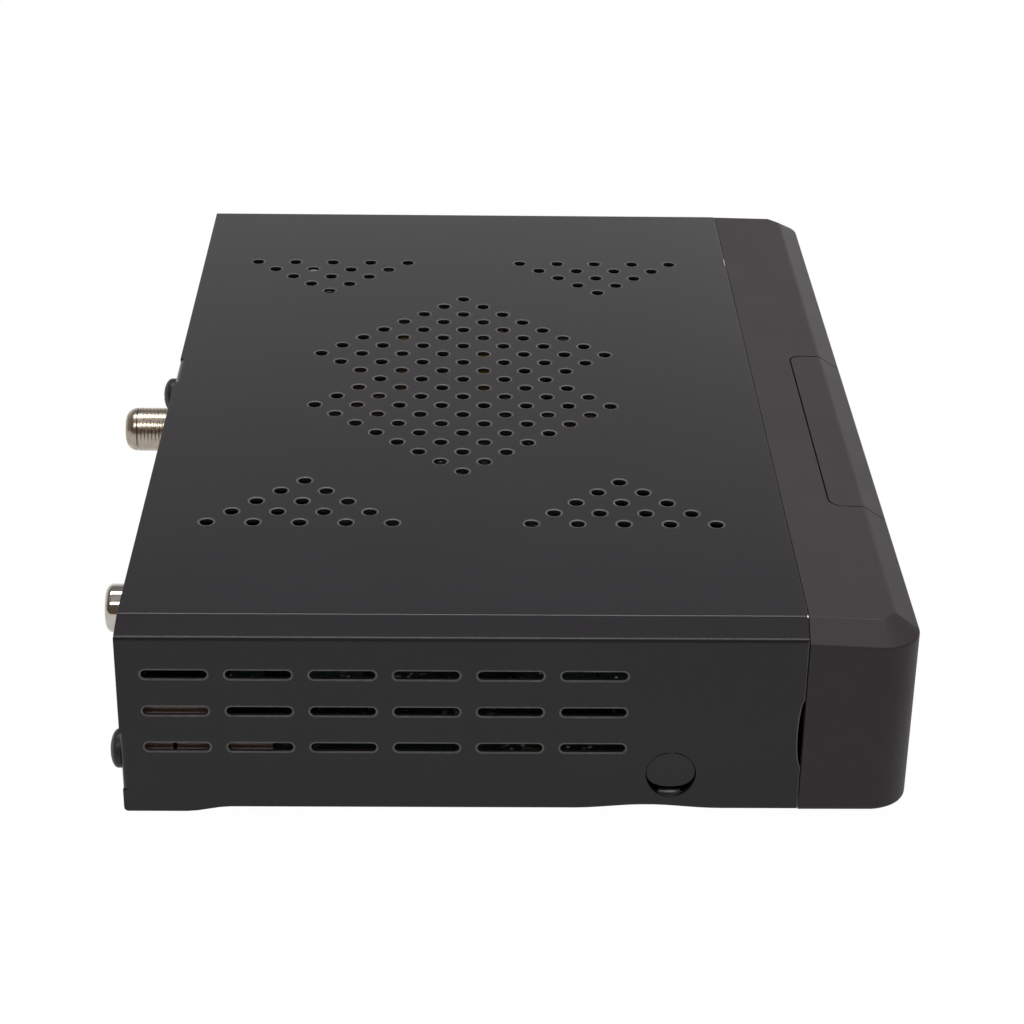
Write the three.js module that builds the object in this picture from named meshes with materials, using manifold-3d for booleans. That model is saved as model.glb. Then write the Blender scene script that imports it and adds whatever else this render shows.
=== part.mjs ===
// Satellite television receiver: a steel case behind a plastic front with a drop-down door.
// Millimetres, +Z up. The front faces -Y, the left side faces -X, and it stands on Z = 0.
import * as THREE from 'three';
import { mergeVertices } from 'three/addons/utils/BufferGeometryUtils.js';
import Module from 'manifold-3d';

const wasm = await Module();
wasm.setup();

// Sizes that all pieces share
const OVERRUN = 1; // how far a cut runs past what it cuts
const FIT = 0.3; // gap between pieces that sit in or on each other
const SEAM = 0.4; // gap round the door
const ROUND_SIDES = 24;
const SMALL_ROUND_SIDES = 12;

// Steel case
const CASE_WIDTH = 206;
const CASE_DEPTH = 122.8;
const CASE_HEIGHT = 38.9;
const SHEET = 0.8;
const BEND_IN = 3.5; // width of the chamfer along each long edge
const BEND_DROP = 2.7; // its height
const RELIEF_LOW = 9.5; // hollow in the front edge of each side
const RELIEF_HIGH = 23.5;
const RELIEF_DEPTH = 0.9;
const RELIEF_STEPS = 6;

// Round vents on the top: a diamond and four triangles on one staggered grid
const VENT_PITCH = 8.8; // along a row
const VENT_DIAMETER = 2.8;
const VENT_SIDES = 8;
const VENT_CENTRE_X = 1.6;
const VENT_CENTRE_Y = 0.4;
const DIAMOND_ROWS = [1, 2, 3, 4, 5, 6, 7, 8, 7, 6, 5, 6, 7, 8, 7, 6, 5, 4, 3, 2, 1];
const TRIANGLE_ROWS = [5, 4, 3, 2, 1];
const TRIANGLE_FIRST_ROW = 15; // rows from the pattern's centre to a triangle's longest row
const TRIANGLE_SHIFT_SHARE = 3.5; // of the pitch, from the centre line to a triangle's middle

// Side slots
const SLOT_COLUMNS = 6;
const SLOT_ROWS = 3;
const SLOT_GAP = 3.2; // between the ends of two slots in a row
const SLOT_HEIGHT = 1.7;
const SLOT_PITCH_Z = 7.6;
const SLOT_REAR_INSET = 9.9; // rear edge to the centre of the last column
const SLOT_FRONT_INSET = 37.9; // front edge to the centre of the first column
const SLOT_LOW_Z = 13.2;
const SLOT_END_SIDES = 3;

// Round tab, sheared out of each side and pushed in at its lower edge
const TAB_DIAMETER = 9.2;
const TAB_FRONT_INSET = 23.5; // front edge of the cover to the tab's centre
const TAB_Z = 7.8;
const TAB_PUSH = 2.4;
const TAB_CLEARANCE = 0.5; // bottom of the tab's hole to the pan's flange behind it

// Ears of the cover that the rear screws hold, and those screws
const EAR_WIDTH = 9;
const EAR_HEIGHT = 12;
const SIDE_SCREW_INSET = 4.7; // side of the case to the screw
const SIDE_SCREW_Z = 9.9;
const TOP_SCREW_DROP = 5.9; // top of the case to the screw
const CASE_SCREW_HEAD = 7.2;
const CASE_SCREW_DOME = 3;
const CASE_SCREW_RIM = 1.4;
const CASE_SCREW_SHANK = 2.6;
const CASE_SCREW_LENGTH = 6;
const CROSS_WIDTH = 0.9;
const CROSS_SPAN = 3.6;
const CROSS_DEPTH = 1.2;

// Base pan and feet
const PAN_SIDE_FLANGE = 8;
const PAN_FRONT_FLANGE = 5;
const BOSS_DIAMETER = 6;
const BOARD_STAND = 4.5; // pan floor to the underside of the boards
const FOOT_DIAMETER = 12;
const FOOT_HEIGHT = 2.5;
const FOOT_STEM = 4;
const FOOT_INSET_X = 16;
const FOOT_INSET_Y = 14;

// Plastic front
const FASCIA_DEPTH = 20.1;
const FASCIA_WALL = 2;
const FASCIA_PROUD = 0.5; // past the side of the case at the joint
const FASCIA_FLARE = 1; // more than that at the front corner
const FASCIA_CORNER = 7;
const FASCIA_CORNER_STEPS = 6;
const FASCIA_BEND_IN = 4.5;
const FASCIA_BEND_DROP = 3.5;
const FASCIA_LIFT = 1; // underside above the bottom of the case
const LIP_LENGTH = 3.5; // lip that enters the cover
const LIP_THICKNESS = 1.2;
const LIP_LOW = 12;

// Door, hinged at its lower edge
const DOOR_LEFT = -55.6;
const DOOR_WIDTH = 71;
const DOOR_THICKNESS = 1.8;
const DOOR_CORNER = 2.5;
const DOOR_CORNER_STEPS = 4;
const DOOR_ARC_STEPS = 8;
const TONGUE_LENGTH = 6.5; // from the top edge of the chamfer back over the top
const PIN_DIAMETER = 1.6;
const RECESS_WALL = 1.6;

// Buttons in the recess, and the switches behind them
const BUTTON_NAMES = ['power_button', 'channel_down_button', 'channel_up_button'];
const BUTTON_WIDTH = 9;
const BUTTON_HEIGHT = 5;
const BUTTON_PROUD = 3; // out of the recess wall
const BUTTON_ROUND = 1.2;
const BUTTON_ROUND_STEPS = 3;
const BUTTON_FLANGE = 0.8; // thickness and width of the flange behind the wall
const BUTTON_PITCH = 15;
const BUTTON_FIRST_INSET = 10; // edge of the door to the first button's centre
const BUTTON_DROP = 11; // top of the front board to the buttons' centres
const SWITCH_SIZE = 6;
const SWITCH_DEPTH = 2.5;
const SWITCH_PLUNGER = 3.5;
const SWITCH_PLUNGER_DEPTH = 0.5;

// Display behind its window
const WINDOW_DOOR_GAP = 8.6; // door to the window
const WINDOW_SIDE_GAP = 19; // window to the side of the case
const WINDOW_LOW = 12;
const WINDOW_TOP_GAP = 5.4; // window to the chamfer
const WINDOW_SET_BACK = 0.1;
const WINDOW_CORNER = 0.4;
const WINDOW_CORNER_STEPS = 2;
const DISPLAY_DEPTH = 7;
const DISPLAY_INSET = 2; // edge of the window to the display
const DISPLAY_REST = 18; // right of the display, for the receiver and the light
const INFRARED_WIDTH = 6;
const INFRARED_HEIGHT = 7;
const INFRARED_DEPTH = 5.3;
const INFRARED_LENS = 3;
const INFRARED_LENS_PROUD = 1;
const INFRARED_INSET = 6; // right end of the window to the receiver's centre
const LED_DIAMETER = 3;
const LED_LENGTH = 5.3;
const LED_INSET = 13;

// Boards
const BOARD_THICKNESS = 1.6;
const FRONT_BOARD_GAP = 5.4; // recess wall to the front board
const FRONT_BOARD_SIDE_GAP = 11; // right end of the front board to the side of the case
const FRONT_BOARD_LOW = 14.5;
const FRONT_BOARD_TOP_GAP = 3.9;
const FRONT_BOSS_DIAMETER = 5;
const FRONT_SCREW_INSET = 4;
const FRONT_BOSS_GAP = 5; // door to the middle of the boss beside it
const BOARD_SIDE_GAP = 5; // side of the case to a board
const BOARD_SPLIT_SHARE = 0.2136; // of the case's width, from its middle to the gap between the boards
const BOARD_GAP = 4;
const MAIN_BOARD_FRONT_GAP = 4.4;
const MAIN_BOARD_REAR_GAP = 2.8;
const POWER_BOARD_FRONT_GAP = 11.4;
const POWER_BOARD_REAR_GAP = 7.4;
const BOARD_SCREW_INSET = 5;
const BOARD_SCREW_HEAD = 5.5;
const BOARD_SCREW_RIM = 1.8;
const BOARD_SCREW_SHANK = 2.4;
const BOARD_SCREW_LENGTH = 5;

// Smart card reader
const CARD_SLOT_WIDTH = 55;
const CARD_SLOT_HEIGHT = 1.6;
const CARD_SLOT_DEPTH = 40;
const READER_SIDE = 1.5;
const READER_HEIGHT = 6;
const READER_LENGTH = 48;
const READER_INSET = 4; // edge of the door to the reader

// Parts on the main board
const PROCESSOR_SIZE = 23;
const PROCESSOR_HEIGHT = 2;
const PROCESSOR_SHARES = [0.614, 0.562]; // of the main board, from its left and its front
const SINK_SIZE = 28;
const SINK_BASE = 2;
const SINK_HEIGHT = 10;
const SINK_FINS = 7;
const SINK_FIN = 1.2;
const MEMORY_LENGTH = 18;
const MEMORY_WIDTH = 10;
const MEMORY_HEIGHT = 1.2;
const MEMORY_SHARES = [0.329, 0.562]; // of the main board, from its left and its front
const TUNER_LEFT = 18; // left side of the tuner to its connector
const TUNER_RIGHT_GAP = 8.8; // tuner to the right edge of the main board
const TUNER_DEPTH = 27;
const TUNER_HEIGHT_SHARE = 0.615; // of the height over the boards

// Rear connectors, with their places as shares of the case's width from its middle
const TOP_SCREW_SHARE = 0.0248;
const LNB_SHARE = 0.0738;
const COAX_SHARE = -0.3024;
const HDMI_SHARE = -0.1214;
const USB_SHARE = -0.2184;
const AV_SHARE = -0.398;
const INLET_SHARE = 0.359;
const LNB_DROP = 13; // top screw to the connector's middle
const LNB_DIAMETER = 9.5;
const LNB_PROUD = 13; // past the rear edge of the cover
const LNB_TIP_DIAMETER = 5.6;
const LNB_TIP_LENGTH = 2.8;
const LNB_TIP_SHARES = [[0.25, 0.42], [0.6, 0.14]]; // shoulder and tip length, on the rounded tip
const LNB_MOUTH = 1.8;
const LNB_MOUTH_DEPTH = 4;
const NUT_ACROSS = 12.8; // over the corners
const NUT_SIDES = 6;
const NUT_THICKNESS = 2.2;
const COAX_DROP = 1.2; // below the antenna connector
const COAX_DIAMETER = 9.5;
const COAX_PROUD = 8;
const COAX_LIP = 1.7;
const COAX_LIP_STEPS = 4;
const COAX_BORE = 6;
const COAX_BORE_DEPTH = 7;
const COAX_PIN = 2.4;
const COAX_BODY_WIDTH = 12;
const COAX_BODY_DEPTH = 14;
const HDMI_WIDTH = 15;
const HDMI_HEIGHT = 6.2;
const HDMI_CORNER = 1.6;
const USB_WIDTH = 13.2;
const USB_HEIGHT = 6.8;
const SOCKET_DEPTH = 14;
const SOCKET_SHELL = 0.6;
const SOCKET_HOLLOW = 9;
const SOCKET_TONGUE = 1.8;
const SOCKET_ROUND_STEPS = 6;
const AV_BODY_WIDTH = 9;
const AV_BODY_DEPTH = 13;
const AV_BODY_HEIGHT = 10;
const AV_DIAMETER = 6.4;
const AV_BORE = 3.6;
const AV_BORE_DEPTH = 11;
const INLET_WIDTH = 23;
const INLET_HEIGHT = 15;
const INLET_DEPTH = 16;
const INLET_FLANGE = 2.5;
const INLET_FLANGE_THICKNESS = 1.2;
const INLET_HOLLOW_WIDTH = 16;
const INLET_HOLLOW_HEIGHT = 8.4;
const INLET_HOLLOW_DEPTH = 12;
const INLET_PIN = 2.4;
const INLET_PIN_SPACING = 8.6;

// Parts on the power board, with their places as shares of it from its left and its front
const CORE_WIDTH = 24;
const CORE_DEPTH = 20;
const CORE_HEIGHT_SHARE = 0.583; // of the height over the boards, as each height share here
const WINDING_OVERHANG = 3;
const WINDING_INSET = 3;
const TRANSFORMER_SHARES = [0.346, 0.519];
const BULK_DIAMETER = 16;
const BULK_HEIGHT_SHARE = 0.809;
const BULK_SHARES = [0.731, 0.269];
const CAN_GROOVE = 0.6; // depth of the groove near a can's foot
const CAN_GROOVE_HEIGHT = 2.4;
const OUTPUT_DIAMETER = 10;
const OUTPUT_HEIGHT_SHARE = 0.518;
const OUTPUT_SHARES = [[0.269, 0.115], [0.269, 0.25]];
const PLATE_WIDTH = 22;
const PLATE_HEIGHT_SHARE = 0.777;
const PLATE_THICKNESS = 1.5;
const PLATE_FOOT = 7;
const PLATE_SHARES = [0.731, 0.712];

// Flat cable between the front board and the main board
const CABLE_WIDTH = 14;
const CABLE_THICKNESS = 0.9;
const CABLE_REACH = 8; // along the main board
const CABLE_HEIGHT = 14; // up the front board
const CABLE_BEND_STEPS = 4;

// Places worked out from the sizes above, with Z = 0 at the bottom of the case
const CASE_FRONT = -CASE_DEPTH / 2;
const CASE_REAR = CASE_DEPTH / 2;
const CASE_SIDE = CASE_WIDTH / 2;
const SIDE_TOP = CASE_HEIGHT - BEND_DROP;
const FASCIA_REAR = CASE_FRONT - FIT;
const FASCIA_FRONT = FASCIA_REAR - FASCIA_DEPTH;
const FASCIA_TOP_EDGE = FASCIA_FRONT + FASCIA_BEND_IN;
const DOOR_RIGHT = DOOR_LEFT + DOOR_WIDTH;
const TONGUE_REAR = FASCIA_TOP_EDGE + TONGUE_LENGTH;
const RECESS_REAR = TONGUE_REAR + SEAM;
const RECESS_FLOOR = FASCIA_LIFT + FASCIA_WALL;
const HINGE_Y = FASCIA_FRONT + DOOR_THICKNESS;
const HINGE_Z = RECESS_FLOOR + FIT + DOOR_THICKNESS;
const RECESS_BACK = RECESS_REAR + RECESS_WALL;
const FRONT_BOARD_FACE = RECESS_BACK + FRONT_BOARD_GAP;
const FRONT_BOARD_BACK = FRONT_BOARD_FACE + BOARD_THICKNESS;
const FRONT_BOARD_LEFT = DOOR_LEFT - SEAM;
const FRONT_BOARD_RIGHT = CASE_SIDE - FRONT_BOARD_SIDE_GAP;
const FRONT_BOARD_HIGH = CASE_HEIGHT - FRONT_BOARD_TOP_GAP;
const FRONT_SCREW_Z = FRONT_BOARD_HIGH - FRONT_SCREW_INSET;
const BUTTON_Z = FRONT_BOARD_HIGH - BUTTON_DROP;
const WINDOW_LEFT = DOOR_RIGHT + WINDOW_DOOR_GAP;
const WINDOW_WIDTH = CASE_SIDE - WINDOW_SIDE_GAP - WINDOW_LEFT;
const WINDOW_HEIGHT = CASE_HEIGHT - FASCIA_BEND_DROP - WINDOW_TOP_GAP - WINDOW_LOW;
const SLOT_PITCH_Y = (CASE_DEPTH - SLOT_FRONT_INSET - SLOT_REAR_INSET) / (SLOT_COLUMNS - 1);
const SLOT_LENGTH = SLOT_PITCH_Y - SLOT_GAP;
const PANEL_REAR = CASE_REAR - SHEET - FIT;
const PANEL_FACE = PANEL_REAR - SHEET;
const PAN_SIDE = CASE_SIDE - SHEET - FIT;
const BOARD_UNDERSIDE = SHEET + BOARD_STAND;
const BOARD_TOP = BOARD_UNDERSIDE + BOARD_THICKNESS;
const ON_BOARD = BOARD_TOP + FIT;
const TAB_Y = CASE_FRONT + TAB_FRONT_INSET;
const TOP_SCREW_X = CASE_WIDTH * TOP_SCREW_SHARE;
const TOP_SCREW_Z = CASE_HEIGHT - TOP_SCREW_DROP;
const LNB_X = CASE_WIDTH * LNB_SHARE;
const LNB_Z = TOP_SCREW_Z - LNB_DROP;
const COAX_X = CASE_WIDTH * COAX_SHARE;
const COAX_Z = LNB_Z - COAX_DROP;
const BOARD_SPLIT = CASE_WIDTH * BOARD_SPLIT_SHARE;
const HEADROOM = CASE_HEIGHT - SHEET - ON_BOARD;
const READER_LEFT = DOOR_LEFT + READER_INSET;
const READER_RIGHT = READER_LEFT + CARD_SLOT_WIDTH + 2 * READER_SIDE;
const READER_FRONT = RECESS_BACK + FIT;
const CARD_SLOT_Z = ON_BOARD + READER_HEIGHT / 2;
const DEPTH_SHIFT = -(FASCIA_FRONT + CASE_REAR + LNB_PROUD) / 2;

// A finish for one piece
function finish(color, roughness, metalness) {
  return { color, roughness, metalness };
}

const PAINTED_STEEL = finish(0x424042, 0.5, 0.3);
const BARE_STEEL = finish(0x9a9a98, 0.4, 0.9);
const FRONT_PLASTIC = finish(0x3e3a3d, 0.6, 0);
const BLACK_PLASTIC = finish(0x1a1a1c, 0.5, 0);
const BLACK_SCREW = finish(0x202022, 0.4, 0.6);
const NICKEL = finish(0xb9b0a2, 0.25, 1);
const CHROME = finish(0xd8d8d6, 0.12, 1);
const TIN = finish(0xc2c2bd, 0.3, 1);
const RUBBER = finish(0x151515, 0.9, 0);
const SMOKED = finish(0x0c0c10, 0.08, 0);
const GREEN_BOARD = finish(0x1f5a34, 0.5, 0);
const BROWN_BOARD = finish(0x8a5a2c, 0.7, 0);
const ALUMINIUM = finish(0xb4b6b8, 0.35, 1);
const CHIP = finish(0x161617, 0.6, 0);
const TAPE = finish(0xb98a2a, 0.5, 0);
const BLUE_SLEEVE = finish(0x1d2f55, 0.4, 0);
const CABLE_GREY = finish(0xa9a9aa, 0.6, 0);
const RED_LENS = finish(0x7a1414, 0.2, 0);

// A closed solid from a three.js geometry, without the collapsed faces on a lathe's axis
function solid(geometry) {
  geometry.deleteAttribute('normal');
  geometry.deleteAttribute('uv');
  const merged = mergeVertices(geometry);
  const corners = merged.index.array;
  const kept = [];
  for (let i = 0; i < corners.length; i += 3) {
    const [a, b, c] = corners.subarray(i, i + 3);
    if (a !== b && b !== c && c !== a) kept.push(a, b, c);
  }
  return new wasm.Manifold(new wasm.Mesh({
    numProp: 3,
    vertProperties: new Float32Array(merged.attributes.position.array),
    triVerts: new Uint32Array(kept),
  }));
}

// A box between two values on each axis
function block([x0, x1], [y0, y1], [z0, z1]) {
  const geometry = new THREE.BoxGeometry(x1 - x0, y1 - y0, z1 - z0);
  geometry.translate((x0 + x1) / 2, (y0 + y1) / 2, (z0 + z1) / 2);
  return solid(geometry);
}

// A range of one width about its middle
function about(middle, width) {
  return [middle - width / 2, middle + width / 2];
}

const X_AXIS = new THREE.Vector3(1, 0, 0);
const Y_AXIS = new THREE.Vector3(0, 1, 0);
const Z_AXIS = new THREE.Vector3(0, 0, 1);

// An outline in Y and Z, run along X
function prismX(outline, from, to) {
  return prism(outline, to - from, new THREE.Matrix4().makeBasis(Y_AXIS, Z_AXIS, X_AXIS), [from, 0, 0]);
}

// An outline in X and Z, run along Y
function prismY(outline, from, to) {
  const back = Y_AXIS.clone().negate();
  return prism(outline, to - from, new THREE.Matrix4().makeBasis(X_AXIS, Z_AXIS, back), [0, to, 0]);
}

// An outline in X and Y, run along Z
function prismZ(outline, from, to) {
  return prism(outline, to - from, new THREE.Matrix4(), [0, 0, from]);
}

function prism(outline, length, turn, start) {
  const shape = new THREE.Shape(outline.map(([a, b]) => new THREE.Vector2(a, b)));
  const geometry = new THREE.ExtrudeGeometry(shape, { depth: length, bevelEnabled: false });
  geometry.applyMatrix4(turn);
  geometry.translate(...start);
  return solid(geometry);
}

// Points of an arc about a centre, both ends included
function arc([a, b], radius, fromAngle, toAngle, steps) {
  return Array.from({ length: steps + 1 }, (_, i) => {
    const angle = fromAngle + ((toAngle - fromAngle) * i) / steps;
    return [a + radius * Math.cos(angle), b + radius * Math.sin(angle)];
  });
}

// A full circle as an outline with flats on its four sides
function circle(centre, diameter, sides) {
  const half = Math.PI / sides;
  return arc(centre, diameter / 2, half, 2 * Math.PI - half, sides - 1);
}

// An outline with round ends along its first axis
function stadium([a, b], length, height, endSteps) {
  const reach = (length - height) / 2;
  return [
    ...arc([a + reach, b], height / 2, -Math.PI / 2, Math.PI / 2, endSteps),
    ...arc([a - reach, b], height / 2, Math.PI / 2, (3 * Math.PI) / 2, endSteps),
  ];
}

// A rectangle with round corners
function roundedRectangle([a0, a1], [b0, b1], radius, steps) {
  const right = Math.PI / 2;
  const centres = [
    [a1 - radius, b1 - radius],
    [a0 + radius, b1 - radius],
    [a0 + radius, b0 + radius],
    [a1 - radius, b0 + radius],
  ];
  return centres.flatMap((centre, i) => arc(centre, radius, i * right, (i + 1) * right, steps));
}

// A solid of revolution about a line along Y, from [radius, y] points
function turned(profile, sides, x, z) {
  const geometry = new THREE.LatheGeometry(profile.map(([r, y]) => new THREE.Vector2(r, y)), sides);
  geometry.translate(x, 0, z);
  return solid(geometry);
}

// A stack of outlines at rising heights, all with the same number of points
function loft(rings) {
  const count = rings[0].outline.length;
  const points = rings.flatMap(({ outline, z }) => outline.map(([x, y]) => [x, y, z]));
  const flat = rings[0].outline.map(([x, y]) => new THREE.Vector2(x, y));
  const lid = THREE.ShapeUtils.triangulateShape(flat, []);
  const top = (rings.length - 1) * count;
  const faces = [];
  for (const [a, b, c] of lid) {
    faces.push(c, b, a, top + a, top + b, top + c);
  }
  for (let ring = 0; ring < rings.length - 1; ring += 1) {
    for (let i = 0; i < count; i += 1) {
      const a = ring * count + i;
      const b = ring * count + ((i + 1) % count);
      faces.push(a, b, b + count, a, b + count, a + count);
    }
  }
  const geometry = new THREE.BufferGeometry();
  geometry.setAttribute('position', new THREE.Float32BufferAttribute(points.flat(), 3));
  geometry.setIndex(faces);
  return solid(geometry);
}

function join(pieces) {
  return pieces.reduce((whole, piece) => whole.add(piece));
}

function cut(whole, cutters) {
  return cutters.reduce((rest, cutter) => rest.subtract(cutter), whole);
}

const receiver = new THREE.Group();
const assembly = new THREE.Group();
assembly.position.set(0, DEPTH_SHIFT, FOOT_HEIGHT);
receiver.add(assembly);

// Adds one piece as a named mesh
function add(name, body, look, x = 0, y = 0, z = 0) {
  const { vertProperties, triVerts } = body.getMesh();
  const geometry = new THREE.BufferGeometry();
  geometry.setAttribute('position', new THREE.BufferAttribute(vertProperties, 3));
  geometry.setIndex(new THREE.BufferAttribute(triVerts, 1));
  geometry.computeVertexNormals();
  const mesh = new THREE.Mesh(geometry, new THREE.MeshStandardMaterial(look));
  mesh.name = name;
  mesh.position.set(x, y, z);
  assembly.add(mesh);
  return mesh;
}

// Adds a piece made along Y so that it stands along Z
function addUpright(name, body, look, x, y, z) {
  add(name, body, look, x, y, z).rotation.x = Math.PI / 2;
}

// How far a bend's corner moves along each face when the sheet is set inwards by one
function bendShares(bendIn, bendDrop) {
  const slope = Math.atan2(bendDrop, bendIn);
  return { side: Math.tan((Math.PI / 2 - slope) / 2), top: Math.tan(slope / 2) };
}

// Half of the case's section, set inwards, from the lower edge to the middle of the top
function halfSection(inset, low) {
  const shares = bendShares(BEND_IN, BEND_DROP);
  return [
    [CASE_SIDE - inset, low],
    [CASE_SIDE - inset, SIDE_TOP - inset * shares.side],
    [CASE_SIDE - BEND_IN - inset * shares.top, CASE_HEIGHT - inset],
  ];
}

// The case's whole section, set inwards
function section(inset, low) {
  const half = halfSection(inset, low);
  const mirrored = half.map(([x, z]) => [-x, z]).reverse();
  return [...half, ...mirrored];
}

// Centres of the round vents
function ventCentres() {
  const rowGap = VENT_PITCH / 2;
  const centres = [];
  const addRow = (x, middle, count) => {
    for (let i = 0; i < count; i += 1) {
      centres.push([VENT_CENTRE_X + x, VENT_CENTRE_Y + middle + (i - (count - 1) / 2) * VENT_PITCH]);
    }
  };
  DIAMOND_ROWS.forEach((count, row) => addRow((row - (DIAMOND_ROWS.length - 1) / 2) * rowGap, 0, count));
  for (const side of [-1, 1]) {
    for (const end of [-1, 1]) {
      TRIANGLE_ROWS.forEach((count, row) => {
        addRow(side * (TRIANGLE_FIRST_ROW - row) * rowGap, end * TRIANGLE_SHIFT_SHARE * VENT_PITCH, count);
      });
    }
  }
  return centres;
}

// Centres of the side slots, as Y and Z
function slotCentres() {
  const centres = [];
  for (let column = 0; column < SLOT_COLUMNS; column += 1) {
    for (let row = 0; row < SLOT_ROWS; row += 1) {
      centres.push([CASE_REAR - SLOT_REAR_INSET - column * SLOT_PITCH_Y, SLOT_LOW_Z + row * SLOT_PITCH_Z]);
    }
  }
  return centres;
}

// The hollow in the cover's front edge, as a shallow bow
function reliefOutline() {
  const steps = Array.from({ length: RELIEF_STEPS + 1 }, (_, i) => i / RELIEF_STEPS);
  const bow = steps.map((t) => [
    CASE_FRONT + RELIEF_DEPTH * Math.sin(Math.PI * t) ** 0.5,
    RELIEF_LOW + (RELIEF_HIGH - RELIEF_LOW) * t,
  ]);
  return [[CASE_FRONT - OVERRUN, RELIEF_LOW], ...bow, [CASE_FRONT - OVERRUN, RELIEF_HIGH]];
}

// The disc of a round side tab, tilted inwards about its upper edge
function tabDisc(side) {
  const radius = TAB_DIAMETER / 2 - FIT;
  const geometry = new THREE.CylinderGeometry(radius, radius, SHEET, ROUND_SIDES);
  geometry.rotateZ(Math.PI / 2);
  geometry.translate(0, 0, -TAB_DIAMETER / 2);
  geometry.rotateY(side * Math.atan2(TAB_PUSH, TAB_DIAMETER));
  geometry.translate(side * (CASE_SIDE - SHEET / 2), TAB_Y, TAB_Z + TAB_DIAMETER / 2 + 2 * FIT);
  return solid(geometry);
}

// Places of the case screws, as X and Z
const CASE_SCREWS = {
  rear_screw_left: [SIDE_SCREW_INSET - CASE_SIDE, SIDE_SCREW_Z],
  rear_screw_right: [CASE_SIDE - SIDE_SCREW_INSET, SIDE_SCREW_Z],
  rear_screw_top: [TOP_SCREW_X, TOP_SCREW_Z],
};

function screwHoles(range) {
  return Object.values(CASE_SCREWS).map((place) => prismY(
    circle(place, CASE_SCREW_SHANK + 2 * FIT, SMALL_ROUND_SIDES),
    ...range,
  ));
}

function topCover() {
  let cover = prismY(section(0, 0), CASE_FRONT, CASE_REAR);
  cover = cover.subtract(prismY(section(SHEET, -OVERRUN), CASE_FRONT - OVERRUN, CASE_REAR + OVERRUN));
  const earY = [CASE_REAR - SHEET, CASE_REAR];
  const ears = [-1, 1].map((side) => {
    const inner = side * (CASE_SIDE - SHEET - EAR_WIDTH);
    const outer = side * (CASE_SIDE - SHEET / 2);
    return block([Math.min(inner, outer), Math.max(inner, outer)], earY, about(SIDE_SCREW_Z, EAR_HEIGHT));
  });
  const topEarZ = [TOP_SCREW_Z - EAR_WIDTH / 2, CASE_HEIGHT - SHEET / 2];
  const topEar = block(about(TOP_SCREW_X, EAR_HEIGHT), earY, topEarZ);
  cover = join([cover, ...ears, topEar]);
  const vents = ventCentres().map((centre) => prismZ(
    circle(centre, VENT_DIAMETER, VENT_SIDES),
    CASE_HEIGHT - SHEET - OVERRUN,
    CASE_HEIGHT + OVERRUN,
  ));
  const through = [-CASE_SIDE - OVERRUN, CASE_SIDE + OVERRUN];
  const slots = slotCentres().map((centre) => prismX(
    stadium(centre, SLOT_LENGTH, SLOT_HEIGHT, SLOT_END_SIDES),
    ...through,
  ));
  const tabHole = prismX(circle([TAB_Y, TAB_Z], TAB_DIAMETER, ROUND_SIDES), ...through);
  const relief = prismX(reliefOutline(), ...through);
  const holes = screwHoles([CASE_REAR - SHEET - OVERRUN, CASE_REAR + OVERRUN]);
  cover = cut(cover, [...vents, ...slots, tabHole, relief, ...holes]);
  add('top_cover', join([cover, tabDisc(-1), tabDisc(1)]), PAINTED_STEEL);
}

// Screw with a head above Y = 0 and a shank below it; the crown is the head's outline past its rim
function screw({ head, rim, shank, length }, crown) {
  return turned([
    [0, -length],
    [shank / 2, -length],
    [shank / 2, 0],
    [head / 2, 0],
    [head / 2, rim],
    ...crown,
  ], SMALL_ROUND_SIDES, 0, 0);
}

// Cross recess in a head whose top is at one Y
function crossCut(top) {
  const range = [top - CROSS_DEPTH, top + OVERRUN];
  return [
    block(about(0, CROSS_SPAN), range, about(0, CROSS_WIDTH)),
    block(about(0, CROSS_WIDTH), range, about(0, CROSS_SPAN)),
  ];
}

function caseScrews() {
  const sizes = {
    head: CASE_SCREW_HEAD,
    rim: CASE_SCREW_RIM,
    shank: CASE_SCREW_SHANK,
    length: CASE_SCREW_LENGTH,
  };
  const rise = CASE_SCREW_DOME - CASE_SCREW_RIM;
  const crown = [
    [CASE_SCREW_HEAD / 2 - rise / 2, CASE_SCREW_RIM + rise * Math.SQRT1_2],
    [CASE_SCREW_HEAD / 4, CASE_SCREW_DOME],
    [0, CASE_SCREW_DOME],
  ];
  const body = cut(screw(sizes, crown), crossCut(CASE_SCREW_DOME));
  for (const [name, [x, z]] of Object.entries(CASE_SCREWS)) {
    add(name, body, BLACK_SCREW, x, CASE_REAR + FIT, z);
  }
}

// Screw places of each board, as X and Y
function boardCorners({ x, y }) {
  const [left, right] = [x[0] + BOARD_SCREW_INSET, x[1] - BOARD_SCREW_INSET];
  const [front, rear] = [y[0] + BOARD_SCREW_INSET, y[1] - BOARD_SCREW_INSET];
  return [[left, front], [right, front], [left, rear], [right, rear]];
}

const MAIN_BOARD = {
  x: [BOARD_SIDE_GAP - CASE_SIDE, BOARD_SPLIT - BOARD_GAP / 2],
  y: [CASE_FRONT + MAIN_BOARD_FRONT_GAP, CASE_REAR - MAIN_BOARD_REAR_GAP],
};
const POWER_BOARD = {
  x: [BOARD_SPLIT + BOARD_GAP / 2, CASE_SIDE - BOARD_SIDE_GAP],
  y: [CASE_FRONT + POWER_BOARD_FRONT_GAP, CASE_REAR - POWER_BOARD_REAR_GAP],
};

// A place on a board, as X and Y, from its shares of the board
function onBoard({ x, y }, [xShare, yShare]) {
  return [x[0] + (x[1] - x[0]) * xShare, y[0] + (y[1] - y[0]) * yShare];
}

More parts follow.
